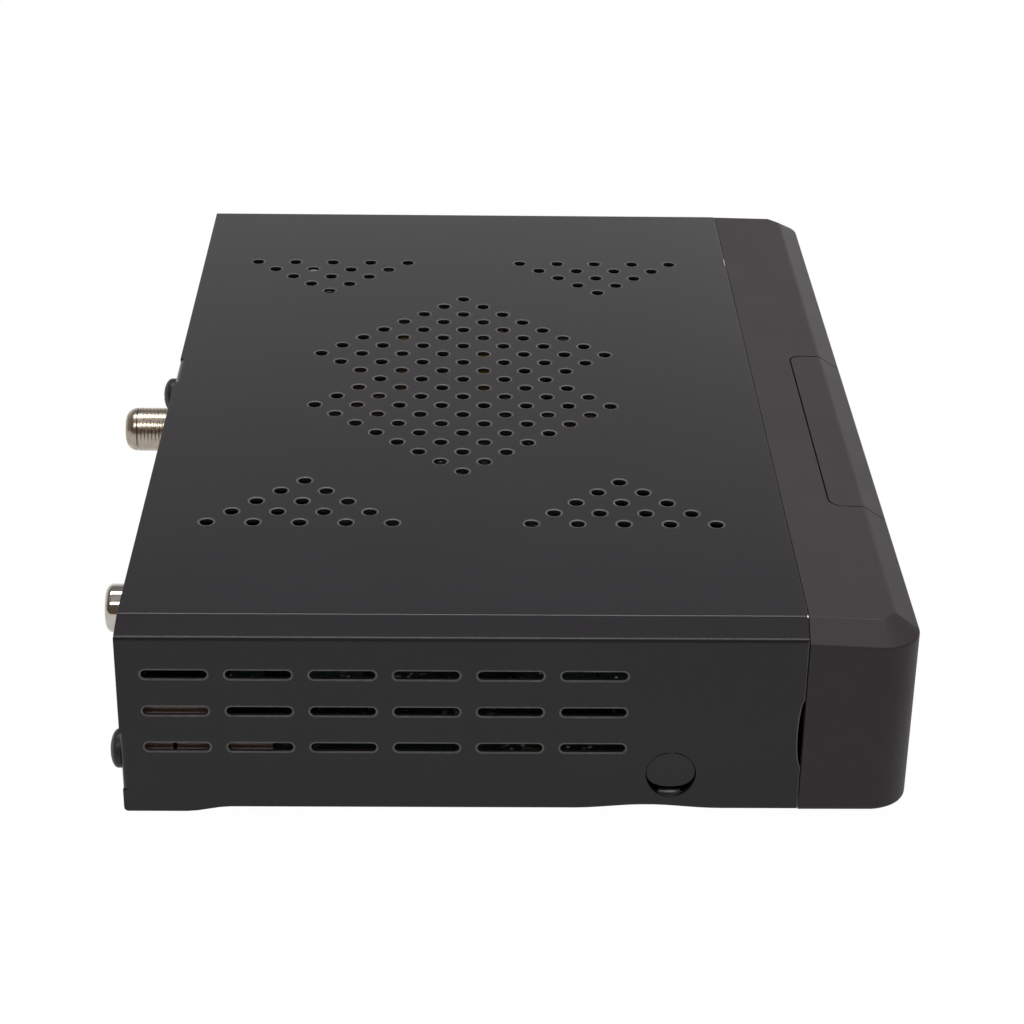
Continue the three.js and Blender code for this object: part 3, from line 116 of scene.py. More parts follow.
FRONT_BOARD_Y = (-63.4, -61.8)
BEFORE_BOARD = -63.7  # rear of the parts that stand on the front board
BEHIND_BOARD = -61.5
FRONT_SCREW_X = (DOOR_X[1] + 5, 88.0)
FRONT_SCREW_Z = 24.75

# Rear
PANEL_REAR = REAR - 1.1
PANEL_FACE = PANEL_REAR - SHEET
LNB = (15.2, 20.0)
COAX = (-62.3, 18.8)
REAR_SCREWS = {
    "rear_screw_left": (-98.3, 9.9),
    "rear_screw_right": (98.3, 9.9),
    "rear_screw_top": (5.1, 33.0),
}
HDMI = (-25.0, 15.0, 6.2)  # centre, width and height
USB = (-45.0, 13.2, 6.8)
INLET = (73.95, 23.0, 15.0)

# Boards
BOARDS = {"main_board": ((-98.0, 42.0), (-57.0, 58.6)), "power_board": ((46.0, 98.0), (-50.0, 54.0))}
BOARD_LOW, BOARD_TOP = 5.3, 6.9
ON_BOARD = 7.2
ROOM = HEIGHT - SHEET - ON_BOARD
AV = (-82.0, ON_BOARD + 5)
BOARD_SCREWS = {}
for board_name, (x_range, y_range) in BOARDS.items():
    spots = [(x, y) for y in (y_range[0] + 5, y_range[1] - 5) for x in (x_range[0] + 5, x_range[1] - 5)]
    for number, spot in enumerate(spots[: 4 if board_name == "main_board" else 3]):
        BOARD_SCREWS["%s_screw_%d" % (board_name, number + 1)] = spot


# ---- Objects ----


def add_object(name, bm, materials):
    """A new object from a bmesh, which it frees."""
    mesh = bpy.data.meshes.new(name)
    bmesh.ops.recalc_face_normals(bm, faces=bm.faces)
    bm.to_mesh(mesh)
    bm.free()
    for material in materials:
        mesh.materials.append(material)
    obj = bpy.data.objects.new(name, mesh)
    bpy.context.scene.collection.objects.link(obj)
    return obj


def solid(name, looks, rows):
    """A new object from rows of shapes."""
    bm = bmesh.new()
    for shape, *values in rows:
        shape(bm, *values)
    return add_object(name, bm, [LOOKS[look] for look in looks])


def apply_modifiers(obj):
    """Bakes an object's modifiers into its mesh."""
    graph = bpy.context.evaluated_depsgraph_get()
    graph.update()
    mesh = bpy.data.meshes.new_from_object(obj.evaluated_get(graph))
    obj.modifiers.clear()
    obj.data = mesh


def boolean(obj, tool, operation="DIFFERENCE", crossing=False):
    """Cuts, joins or intersects with rows of shapes, or with an object, which it removes.

    crossing is for shapes that run through each other.
    """
    if isinstance(tool, list):
        tool = solid("cutter", [], tool)
    modifier = obj.modifiers.new("boolean", "BOOLEAN")
    modifier.operation = operation
    modifier.use_self = crossing
    modifier.solver = "EXACT"
    modifier.object = tool
    apply_modifiers(obj)
    bpy.data.objects.remove(tool)


def bevel(obj, width, segments=2, angle=35):
    """Rounds an object's sharp edges."""
    modifier = obj.modifiers.new("bevel", "BEVEL")
    modifier.width = width
    modifier.segments = segments
    modifier.limit_method = "ANGLE"
    modifier.angle_limit = math.radians(angle)
    modifier.miter_outer = "MITER_ARC"
    modifier.use_clamp_overlap = True
    apply_modifiers(obj)


def smooth(obj, angle):
    """Smooth shading between faces that meet under an angle, led by the larger faces."""
    mesh = obj.data
    bm = bmesh.new()
    bm.from_mesh(mesh)
    bmesh.ops.dissolve_degenerate(bm, dist=0.002, edges=bm.edges)
    bm.to_mesh(mesh)
    bm.free()
    mesh.shade_smooth()
    mesh.set_sharp_from_angle(angle=math.radians(angle))
    modifier = obj.modifiers.new("normals", "WEIGHTED_NORMAL")
    modifier.keep_sharp = True
    modifier.weight = 80
    apply_modifiers(obj)


def finish(obj, nodes=(), body="case", angle=30):
    """Shades a piece and puts it in the row frame, on its body, in place of its nodes, which it hides."""
    smooth(obj, angle)
    obj.data.transform(Matrix.Translation(SHIFT * MM) @ Matrix.Scale(MM, 4))
    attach(obj, body)
    if nodes:
        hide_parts(*nodes)


def make(name, looks, rows, nodes=(), body="case", rounding=0.12, segments=2, angle=30):
    """A finished piece from rows of shapes."""
    obj = solid(name, looks, rows)
    if rounding:
        bevel(obj, rounding, segments)
    finish(obj, nodes, body, angle)


# ---- Outlines ----


def clamp(value):
    """A value held between 0 and 1."""
    return max(0.0, min(1.0, value))


def middle(value, width):
    """A range of one width about its middle."""
    return (value - width / 2, value + width / 2)


def moved(profile, along):
    """A profile of (radius, along) points moved along its axis."""
    return [(radius, along + value) for radius, value in profile]


def arc(centre, radius, start, end, steps):
    """Points of an arc, both ends included, with its angles in degrees."""
    angles = [math.radians(start + (end - start) * i / steps) for i in range(steps + 1)]
    return [(centre[0] + radius * math.cos(a), centre[1] + radius * math.sin(a)) for a in angles]


def ring(centre, radius, steps, turn=0.0):
    """Points of a full circle."""
    return arc(centre, radius, turn, turn + 360, steps)[:-1]


def rounded(x, y, radius, steps=4):
    """A rectangle with round corners, counter-clockwise."""
    corners = ((x[1], y[1], 0), (x[0], y[1], 90), (x[0], y[0], 180), (x[1], y[0], 270))
    points = []
    for a, b, start in corners:
        inwards = (math.copysign(radius, a - sum(x) / 2), math.copysign(radius, b - sum(y) / 2))
        points += arc((a - inwards[0], b - inwards[1]), radius, start, start + 90, steps)
    return points


def stadium(centre, length, height, steps):
    """A slot with round ends along its first axis."""
    reach = (length - height) / 2
    right = arc((centre[0] + reach, centre[1]), height / 2, -90, 90, steps)
    left = arc((centre[0] - reach, centre[1]), height / 2, 90, 270, steps)
    return right + left


def fillet(points, radii, steps=5):
    """A polyline with its inner corners rounded."""
    result = [Vector(points[0])]
    for before, here, after, radius in zip(points, points[1:], points[2:], radii):
        here = Vector(here)
        one, two = (Vector(before) - here).normalized(), (Vector(after) - here).normalized()
        half = one.angle(two) / 2
        centre = here + (one + two).normalized() * (radius / math.sin(half))
        pull = radius / math.tan(half)
        a, b = here + one * pull - centre, here + two * pull - centre
        turn = a.angle(b)
        side = 1 if a.x * b.y - a.y * b.x > 0 else -1
        for i in range(steps + 1):
            angle = side * turn * i / steps
            c, s = math.cos(angle), math.sin(angle)
            result.append(centre + Vector((a.x * c - a.y * s, a.x * s + a.y * c)))
    result.append(Vector(points[-1]))
    return [tuple(p) for p in result]


def offset(loop, distance):
    """A closed counter-clockwise loop moved outwards."""
    moved = []
    for i, point in enumerate(loop):
        before, after = Vector(loop[i - 1]), Vector(loop[(i + 1) % len(loop)])
        here = Vector(point)
        one = (here - before).normalized()
        two = (after - here).normalized()
        normal = Vector((one.y + two.y, -one.x - two.x)).normalized()
        reach = distance / max(0.3, normal.dot(Vector((one.y, -one.x))))
        moved.append(tuple(here + normal * reach))
    return moved


def inside(point, loop):
    """True if a point lies in a closed loop."""
    x, y = point
    found = False
    for (x0, y0), (x1, y1) in zip(loop, loop[1:] + loop[:1]):
        if (y0 > y) != (y1 > y) and x < (x1 - x0) * (y - y0) / (y1 - y0) + x0:
            found = not found
    return found


# ---- Shapes ----

AXES = {
    "x": lambda a, b, along: (along, a, b),
    "y": lambda a, b, along: (a, along, b),
    "z": lambda a, b, along: (a, b, along),
}
SQUARE = ((-1, -1), (1, -1), (1, 1), (-1, 1))


def band(bm, one, two, material=0):
    """Faces between two closed rows of vertices."""
    for i in range(len(one)):
        j = (i + 1) % len(one)
        bm.faces.new((one[i], one[j], two[j], two[i])).material_index = material


def loft(bm, rows, material=0):
    """Joins closed rows of points and closes both ends."""
    rows = [[bm.verts.new(point) for point in row] for row in rows]
    for end in (rows[0], rows[-1]):
        bm.faces.new(end).material_index = material
    for one, two in zip(rows, rows[1:]):
        band(bm, one, two, material)


def prism(bm, outline, axis, start, end, material=0):
    """Runs an outline along an axis and closes both ends."""
    loft(bm, [[AXES[axis](a, b, along) for a, b in outline] for along in (start, end)], material)


def box(bm, x, y, z, material=0):
    """A box between two values on each axis."""
    prism(bm, [(x[0], y[0]), (x[1], y[0]), (x[1], y[1]), (x[0], y[1])], "z", *z, material)


def lathe(bm, profile, axis, centre, steps=48, material=0):
    """Turns a profile of (radius, along) points, which starts and ends on the axis or closes."""
    at = AXES[axis]
    rows = []
    for radius, along in profile:
        if radius < 1e-6:
            rows.append([bm.verts.new(at(*centre, along))] * steps)
        else:
            rows.append([bm.verts.new(at(a, b, along)) for a, b in ring(centre, radius, steps)])
    closed = profile[0][0] > 1e-6
    for low, high in list(zip(rows, rows[1:])) + ([(rows[-1], rows[0])] if closed else []):
        for i in range(steps):
            j = (i + 1) % steps
            corners = []
            for vertex in (low[i], low[j], high[j], high[i]):
                if vertex not in corners:
                    corners.append(vertex)
            if len(corners) > 2:
                bm.faces.new(corners).material_index = material


def rod(bm, radius, start, end, axis, centre, steps=48, material=0):
    """A plain cylinder for a cut, or the core of a part."""
    lathe(bm, [(0, start), (radius, start), (radius, end), (0, end)], axis, centre, steps, material)


def threaded(bm, centre, start, end, radius, depth, pitch, steps, per_turn=10):
    """The outside of a screw thread along Y, fading out at both ends; returns its end rows."""
    rows = []
    count = int((end - start) / pitch * per_turn)
    for i in range(count + 1):
        along = start + (end - start) * i / count
        fade = min(1.0, (along - start) / pitch, (end - along) / pitch)
        row = []
        for j in range(steps):
            angle = 2 * PI * j / steps
            phase = (along / pitch - j / steps) % 1.0
            cut = max(0.0, 1 - abs(phase - 0.5) * 2 * 1.15)
            r = radius - depth * min(1.0, cut * 1.25) * max(0.0, fade)
            a, b = centre[0] + r * math.cos(angle), centre[1] + r * math.sin(angle)
            row.append(bm.verts.new((a, along, b)))
        rows.append(row)
    for low, high in zip(rows, rows[1:]):
        band(bm, low, high)
    return rows[0], rows[-1]


def skin(bm, row, profile, centre, steps):
    """Goes on from a row of vertices along a profile of (radius, along) to a tip on the Y axis."""
    for radius, along in profile[:-1]:
        following = [bm.verts.new((a, along, b)) for a, b in ring(centre, radius, steps)]
        band(bm, row, following)
        row = following
    tip = bm.verts.new((centre[0], profile[-1][1], centre[1]))
    for j in range(steps):
        bm.faces.new((row[j], row[(j + 1) % steps], tip))


BARE = 3  # look of a rim whose wall is bare metal too
RIM_DROP = 0.12


def sheet(bm, outline, holes, lines, mapping, edge, front_edge=None, edge_look=0):
    """A sheet of metal with holes, from its flat pattern.

    outline is a counter-clockwise loop in the flat pattern, holes are (loop, rim width, rim's
    look), and lines are chains of points. mapping turns a flat point and a depth into a place.
    The outline's rim is edge wide, and front_edge wide where y is negative. A look is a
    material's number or a function of the two ends of an edge, and edge_look is the outline's.
    """
    rim_loop = offset(outline, -edge)
    if front_edge:
        wide = offset(outline, -front_edge)
        rim_loop = [two if p[1] < 0 else one for p, one, two in zip(outline, rim_loop, wide)]
    loops = [rim_loop] + [offset(hole, rim) for hole, rim, _ in holes]
    walls = [(outline, edge, edge_look)] + list(holes)
    points, edges, owner = [], [], []
    for index, loop in enumerate(loops):
        first = len(points)
        points += [Vector(p) for p in loop]
        owner += [index] * len(loop)
        edges += [(first + i, first + (i + 1) % len(loop)) for i in range(len(loop))]
    for chain in lines:
        first = len(points)
        points += [Vector(p) for p in chain]
        owner += [-1] * len(chain)
        edges += [(first + i, first + i + 1) for i in range(len(chain) - 1)]
    flat, _, faces, origin, _, _ = delaunay_2d_cdt(points, edges, [], 1, 1e-5)
    owners = [{owner[i] for i in ids} for ids in origin]
    spots = {i: index for index, ids in enumerate(origin) for i in ids}
    grids = [[bm.verts.new(mapping(p.x, p.y, depth)) for p in flat] for depth in (0.0, -SHEET)]
    for face in faces:
        shared = set.intersection(*(owners[i] for i in face)) - {-1, 0}
        if shared:
            centre = sum((flat[i] for i in face), Vector((0, 0))) / len(face)
            if inside(centre, loops[min(shared)]):
                continue
        bm.faces.new([grids[0][i] for i in face])
        bm.faces.new([grids[1][i] for i in reversed(face)])
    first = 0
    for (wall, reach, look), loop in zip(walls, loops):
        count = len(loop)
        half = [((a[0] + b[0]) / 2, (a[1] + b[1]) / 2) for a, b in zip(wall, loop)]
        fall = min(RIM_DROP, reach * 0.6)
        levels = [(half, -fall * 0.3), (wall, -fall), (wall, fall * 0.5 - SHEET)]
        rows = [[grids[0][spots[first + i]] for i in range(count)]]
        rows += [[bm.verts.new(mapping(*p, depth)) for p in level] for level, depth in levels]
        rows.append([grids[1][spots[first + i]] for i in range(count)])
        for level, (upper, lower) in enumerate(zip(rows, rows[1:])):
            for i in range(count):
                j = (i + 1) % count
                face = bm.faces.new((upper[i], upper[j], lower[j], lower[i]))
                number = look(wall[i], wall[j]) if callable(look) else look
                face.material_index = number if level < 2 or number == BARE else 0
        first += count


# ---- Materials ----


def node(tree, kind, inputs=None, **settings):
    """Adds a shader node; an input is a value or the output socket that feeds it."""
    made = tree.nodes.new(kind)
    for key, value in settings.items():
        setattr(made, key, value)
    for key, value in (inputs or {}).items():
        if isinstance(value, bpy.types.NodeSocket):
            tree.links.new(value, made.inputs[key])
        else:
            made.inputs[key].default_value = value
    return made


def colour(shade):
    """A colour without transparency."""
    return (*shade, 1.0)


def own_space(tree):
    """Places in the object's own space."""
    return node(tree, "ShaderNodeTexCoord").outputs["Object"]


def mix(tree, factor, one, two):
    """A colour between two."""
    return node(tree, "ShaderNodeMix", {"Factor": factor, 6: one, 7: two}, data_type="RGBA").outputs[2]


def combine(tree, operation, one, two):
    """Two numbers in a math node."""
    return node(tree, "ShaderNodeMath", {0: one, 1: two}, operation=operation).outputs[0]


def noise(tree, scale):
    """Noise in the object's own space, in features per metre."""
    inputs = {"Vector": own_space(tree), "Scale": scale, "Detail": 3.0, "Roughness": 0.55}
    return node(tree, "ShaderNodeTexNoise", inputs).outputs["Fac"]


def ramp(tree, factor, pairs):
    """A ramp of colours, from (position, colour) pairs."""
    made = node(tree, "ShaderNodeValToRGB", {"Fac": factor})
    elements = made.color_ramp.elements
    for element, (position, shade) in zip(elements, (pairs[0], pairs[-1])):
        element.position, element.color = position, colour(shade)
    for position, shade in pairs[1:-1]:
        elements.new(position).color = colour(shade)
    return made.outputs[0]


def surface(name, low, high, rough, metallic, specular, mottle, grain):
    """A material whose colour, roughness and fine relief vary over the surface.

    low and high are colours, mottle is in features per metre, and grain is (features per metre,
    strength) of the relief.
    """
    material = bpy.data.materials.new(name)
    material.use_nodes = True
    tree = material.node_tree
    shader = tree.nodes["Principled BSDF"]
    shader.inputs["Metallic"].default_value = metallic
    shader.inputs["Specular IOR Level"].default_value = specular
    shade = ramp(tree, noise(tree, mottle), ((0.35, low), (0.65, high)))
    tree.links.new(shade, shader.inputs["Base Color"])
    inputs = {"Value": noise(tree, mottle * 3), "To Min": rough[0], "To Max": rough[1]}
    inputs.update({"From Min": 0.3, "From Max": 0.7})
    tree.links.new(node(tree, "ShaderNodeMapRange", inputs).outputs[0], shader.inputs["Roughness"])
    inputs = {"Height": noise(tree, grain[0]), "Strength": grain[1], "Distance": 0.0002}
    tree.links.new(node(tree, "ShaderNodeBump", inputs).outputs[0], shader.inputs["Normal"])
    return material


# Look: the material's name, two colours and roughness, then metallic, specular, mottle and grain
LOOKS = {
    "paint": ("case_paint", (0.0097, 0.0091, 0.0105), (0.0108, 0.0101, 0.0116), (0.245, 0.265),
              0, 0.24, 22, (2600, 0.06)),
    "edge": ("case_edge_wear", (0.042, 0.041, 0.042), (0.07, 0.067, 0.067), (0.35, 0.5),
             0, 0.4, 700, (2500, 0.2)),
    # also the painted highlight along the sides of the cover's front edge
    "vent_edge": ("vent_rim_wear_and_edge_highlight", (0.042, 0.041, 0.042), (0.062, 0.061, 0.062), (0.35, 0.5),
                  0, 0.4, 300, (2500, 0.1)),
    "front": ("front_plastic", (0.0138, 0.0098, 0.0118), (0.0157, 0.0113, 0.0133), (0.55, 0.59),
              0, 0.29, 25, (5200, 0.18)),
    "dark_brown": ("dark_brown_plastic", (0.24, 0.185, 0.165), (0.28, 0.22, 0.2), (0.5, 0.6),
                   0, 0.3, 150, (2500, 0.1)),
    "pressboard": ("brown_pressboard", (0.36, 0.30, 0.28), (0.42, 0.35, 0.33), (0.6, 0.7),
                   0, 0.3, 900, (2500, 0.2)),
    "black": ("black_plastic", (0.008, 0.008, 0.0085), (0.012, 0.012, 0.0125), (0.4, 0.5),
              0, 0.4, 60, (3000, 0.1)),
    "screw": ("black_oxide", (0.009, 0.0085, 0.0085), (0.014, 0.013, 0.0125), (0.4, 0.5),
              0, 0.22, 400, (2500, 0.1)),
    "nickel": ("nickel_plate", (0.32, 0.28, 0.225), (0.38, 0.335, 0.27), (0.2, 0.3),
               1, 0.5, 500, (1800, 0.06)),
    "chrome": ("bright_nickel", (0.42, 0.405, 0.36), (0.48, 0.465, 0.42), (0.07, 0.12),
               1, 0.5, 300, (900, 0.03)),
    "tin": ("tin_plate", (0.52, 0.51, 0.47), (0.60, 0.59, 0.56), (0.22, 0.36),
            1, 0.5, 120, (900, 0.08)),
    "zinc": ("zinc_coat", (0.42, 0.42, 0.40), (0.58, 0.58, 0.55), (0.30, 0.48),
             1, 0.5, 150, (1200, 0.12)),
    "aluminium": ("plain_aluminium", (0.50, 0.51, 0.52), (0.60, 0.61, 0.62), (0.3, 0.42),
                  1, 0.5, 200, (1500, 0.1)),
    "can": ("can_metal", (0.16, 0.16, 0.155), (0.2, 0.2, 0.195), (0.35, 0.5),
            1, 0.5, 200, (1500, 0.1)),
    "rubber": ("foot_rubber", (0.012, 0.012, 0.012), (0.02, 0.02, 0.02), (0.75, 0.9),
               0, 0.3, 200, (1500, 0.4)),
    "white": ("white_insulator", (0.62, 0.61, 0.57), (0.70, 0.69, 0.65), (0.4, 0.5),
              0, 0.5, 200, (1500, 0.05)),
    "chip": ("chip_resin", (0.012, 0.012, 0.013), (0.018, 0.018, 0.019), (0.5, 0.62),
             0, 0.5, 200, (4000, 0.2)),
    "tape": ("yellow_tape", (0.42, 0.25, 0.03), (0.55, 0.34, 0.05), (0.25, 0.4),
             0, 0.5, 120, (900, 0.2)),
    "sleeve": ("blue_sleeve", (0.012, 0.02, 0.07), (0.018, 0.03, 0.09), (0.2, 0.32),
               0, 0.5, 90, (1500, 0.05)),
    "cable": ("grey_cable", (0.35, 0.35, 0.36), (0.42, 0.42, 0.43), (0.45, 0.6),
              0, 0.5, 90, (1500, 0.05)),
    "lens": ("red_lens", (0.30, 0.012, 0.012), (0.40, 0.02, 0.02), (0.08, 0.15),
             0, 0.5, 90, (500, 0.02)),
    "window": ("smoked_window", (0.006, 0.005, 0.006), (0.008, 0.007, 0.008), (0.05, 0.09),
               0, 0.5, 30, (200, 0.01)),
    "segment": ("unlit_segment", (0.05, 0.042, 0.04), (0.06, 0.05, 0.048), (0.4, 0.5),
                0, 0.5, 90, (1500, 0.05)),
    "capacitor": ("tan_ceramic", (0.30, 0.17, 0.08), (0.40, 0.24, 0.12), (0.4, 0.6),
                  0, 0.5, 300, (1500, 0.05)),
}
LOOKS = {look: surface(*row) for look, row in LOOKS.items()}
SOLDER = (0.55, 0.54, 0.5)
DUST = (0.075, 0.072, 0.068)


def board_look(name, mask, track, turned=False):
    """A circuit board: solder mask with tracks under it and small solder points."""
    lighter = tuple(v * 1.15 for v in mask)
    material = surface(name, mask, lighter, (0.3, 0.4), 0, 0.5, 60, (700, 0.05))
    tree = material.node_tree
    target = tree.nodes["Principled BSDF"].inputs["Base Color"]
    turn = (PI / 2, 0, 0) if turned else (0, 0, 0)
    flat = node(tree, "ShaderNodeMapping", {"Vector": own_space(tree), "Rotation": turn}).outputs[0]
    inputs = {"Vector": flat, "Scale": 260.0, "Mortar Size": 0.035, "Brick Width": 1.7, "Row Height": 0.34}
    lines = node(tree, "ShaderNodeTexBrick", inputs, offset=0.37)
    points = node(tree, "ShaderNodeTexVoronoi", {"Vector": flat, "Scale": 420.0})
    dots = combine(tree, "LESS_THAN", points.outputs["Distance"], 0.16)
    tracks = mix(tree, lines.outputs["Fac"], target.links[0].from_socket, colour(track))
    tree.links.new(mix(tree, dots, tracks, colour(SOLDER)), target)
    return material


def add_dust(material):
    """Mixes sparse specks of dust into a painted surface's colour."""
    tree = material.node_tree
    target = tree.nodes["Principled BSDF"].inputs["Base Color"]
    cells = node(tree, "ShaderNodeTexVoronoi", {"Vector": own_space(tree), "Scale": 62.0})
    inputs = {"Value": cells.outputs["Distance"], "From Min": 0.022, "From Max": 0.01}
    near = node(tree, "ShaderNodeMapRange", inputs).outputs[0]
    picked = node(tree, "ShaderNodeSeparateColor", {0: cells.outputs["Color"]}).outputs[0]
    inputs = {"Value": picked, "From Min": 0.62, "From Max": 0.95}
    some = node(tree, "ShaderNodeMapRange", inputs).outputs[0]
    share = combine(tree, "MULTIPLY", near, some)
    tree.links.new(mix(tree, share, target.links[0].from_socket, colour(DUST)), target)


add_dust(LOOKS["paint"])
add_dust(LOOKS["front"])
GREEN = ((0.006, 0.022, 0.012), (0.012, 0.036, 0.02))
LOOKS["green"] = board_look("green_mask", *GREEN)
LOOKS["green_upright"] = board_look("green_mask_upright", *GREEN, True)
LOOKS["brown"] = board_look("brown_phenolic", (0.11, 0.06, 0.036), (0.15, 0.09, 0.055))


# ---- Cover ----

BEND_START = REAR - BEND_RADIUS
BEND_LENGTH = BEND_RADIUS * PI / 2
WORN_X = (67.0, 71.0)  # ends of the bare part of the top's front edge
REAR_LEAN = 0.45  # by which the sides reach further back
LEAN_RUN = 2.5
EDGE_RISE = 0.35
EDGE_HANG = -0.7
EDGE_BOW = (TAB_CENTRE[0] + 4.2, 13.5, 0.76)  # middle, half length and rise
EDGE_ROUND = 0.8
EDGE_RIM = 0.05
# width of the front edge's rim, which carries the painted highlight along the sides
FRONT_RIM = 0.2
EAR_HALF = 6.0
EAR_NOTCH = 0.03
EAR_HOLE = 1.6
EAR_RIM = 0.12
TAB_RIM = 0.08


def rounded_path(corners, radii, steps):
    """Stations (length along, point, outward normal) of a path with its corners rounded."""
    places, normals = [Vector(corners[0])], []
    for before, here, after, radius in zip(corners, corners[1:], corners[2:], radii):
        one = (Vector(here) - Vector(before)).normalized()
        two = (Vector(after) - Vector(here)).normalized()
        start = Vector((-one.y, one.x))
        turn = one.angle(two)
        centre = Vector(here) - one * (radius * math.tan(turn / 2)) - start * radius
        if not normals:
            normals.append(start)
        for i in range(steps + 1):
            angle = -turn * i / steps
            c, s = math.cos(angle), math.sin(angle)
            normal = Vector((start.x * c - start.y * s, start.x * s + start.y * c))
            places.append(centre + normal * radius)
            normals.append(normal)
    places.append(Vector(corners[-1]))
    normals.append(normals[-1])
    stations, along = [], 0.0
    for i, (spot, normal) in enumerate(zip(places, normals)):
        if i:
            along += (spot - places[i - 1]).length
        stations.append((along, spot, normal))
    return stations


SIDE_LINE = [(-HALF_WIDTH, 0), (-HALF_WIDTH, HEIGHT - BEND_DROP), (-HALF_WIDTH + BEND_IN, HEIGHT)]
BEND_RADII = (LOW_BEND_RADIUS, BEND_RADIUS, BEND_RADIUS, LOW_BEND_RADIUS)
STATIONS = rounded_path(SIDE_LINE + [(-x, z) for x, z in reversed(SIDE_LINE)], BEND_RADII, 6)
LENGTH = STATIONS[-1][0]
FOLDS = [s for s, _, _ in STATIONS[1:-1]]
# Places along the path: middles of the lower and upper bend, and where the top's x is 0
LOW_BEND, HIGH_BEND = STATIONS[4][0], STATIONS[10][0]
TOP_ZERO = STATIONS[14][0] - STATIONS[14][1].x
WORN = [TOP_ZERO + x for x in WORN_X]
SIDE_EAR, TOP_EAR = REAR_SCREWS["rear_screw_left"][1], TOP_ZERO + REAR_SCREWS["rear_screw_top"][0]
# Ears that fold over the rear panel: middle along the path, reach, and height of the hole
EARS = [(SIDE_EAR, SHEET + 9, 4.7), (TOP_EAR, 10.4, 5.9), (LENGTH - SIDE_EAR, SHEET + 9, 4.7)]


def other_side(loop):
    """A loop of the flat pattern, on the cover's other side."""
    return [(LENGTH - s, y) for s, y in reversed(loop)]


def push_tab(point):
    """Tilts the disc of a side tab inwards about its upper edge."""
    y, z = TAB_CENTRE
    away = math.hypot(point.y - y, point.z - z)
    if abs(point.x) < HALF_WIDTH - 2 * SHEET or away > TAB_RADIUS - TAB_GAP / 2:
        return point
    top = z + TAB_RADIUS
    down = top - point.z
    angle = TAB_TILT * min(1.0, down / (0.35 * TAB_RADIUS))
    depth = HALF_WIDTH - abs(point.x)
    point.x = math.copysign(HALF_WIDTH - down * math.sin(angle) - depth * math.cos(angle), point.x)
    point.z = top - down * math.cos(angle) + depth * math.sin(angle)
    return point


def fold(s, y, depth):
    """The place of a point of the flat pattern, at a depth below the cover's outside."""
    for (s0, p0, n0), (s1, p1, n1) in zip(STATIONS, STATIONS[1:]):
        if s <= s1 + 1e-6:
            break
    share = (s - s0) / (s1 - s0)
    spot = p0.lerp(p1, share)
    normal = n0.lerp(n1, share).normalized()
    lean = REAR_LEAN * clamp((HIGH_BEND - min(s, LENGTH - s)) / (HIGH_BEND - LOW_BEND))
    lean *= clamp((y - BEND_START + LEAN_RUN) / LEAN_RUN)
    past = y - BEND_START
    if past > 0 and any(abs(s - centre) < EAR_HALF + 0.01 for centre, _, _ in EARS):
        turn = min(past / BEND_RADIUS, PI / 2)
        rest = past - BEND_RADIUS * turn
        reach = BEND_RADIUS + depth
        spot = spot - normal * (BEND_RADIUS - reach * math.cos(turn) + rest)
        return Vector((spot.x, BEND_START + lean + reach * math.sin(turn), spot.y))
    spot = spot + normal * depth
    return push_tab(Vector((spot.x, y + lean, spot.y)))


def vent_centres():
    """Centres of the diamond's vents and of the four triangles' vents."""
    centres = []

    def add_row(x, y, count):
        for i in range(count):
            along = VENT_CENTRE[1] + y + (i - (count - 1) / 2) * VENT_PITCH
            centres.append((VENT_CENTRE[0] + x, along))

    half = VENT_PITCH / 2
    for row, count in enumerate(DIAMOND_ROWS):
        add_row((row - (len(DIAMOND_ROWS) - 1) / 2) * half, 0, count)
    for side in (-1, 1):
        for end in (-1, 1):
            for row, count in enumerate(TRIANGLE_ROWS):
                add_row(side * (TRIANGLE_FIRST_ROW - row) * half, end * TRIANGLE_SHIFT * VENT_PITCH, count)
    return centres


def ear_edge(centre, reach):
    """The outline of an ear in the flat pattern, with the notches beside it, and its bend lines."""
    low, high = centre - EAR_HALF, centre + EAR_HALF
    tip = BEND_START + BEND_LENGTH + reach - BEND_RADIUS
    foot = BEND_START - 0.1
    steps = [BEND_START + BEND_LENGTH * i / 5 for i in range(6)]
    up = [(low - EAR_NOTCH, REAR), (low - EAR_NOTCH, foot), (low, foot)] + [(low, y) for y in steps]
    corners = arc((low + 1, tip - 1), 1, 180, 90, 4) + arc((high - 1, tip - 1), 1, 90, 0, 4)
    down = [(high, y) for y in reversed(steps)]
    down += [(high, foot), (high + EAR_NOTCH, foot), (high + EAR_NOTCH, REAR)]
    return up + corners + down, [[(low + EDGE_RIM, y), (high - EDGE_RIM, y)] for y in steps]


def low_edge(y):
    """Height of the cover's lower edge: it hangs at the rear and is drawn up near the tab."""
    share = clamp((REAR - 11 - y) / 8)
    height = EDGE_HANG + (EDGE_RISE - EDGE_HANG) * share * share * (3 - 2 * share)
    centre, half, rise = EDGE_BOW
    away = min(1.0, abs(y - centre) / half)
    corner = clamp((y - REAR) / EDGE_ROUND + 1)
    height += rise * (0.5 + 0.5 * math.cos(PI * away))
    return height + EDGE_ROUND * (1 - math.sqrt(1 - corner * corner))


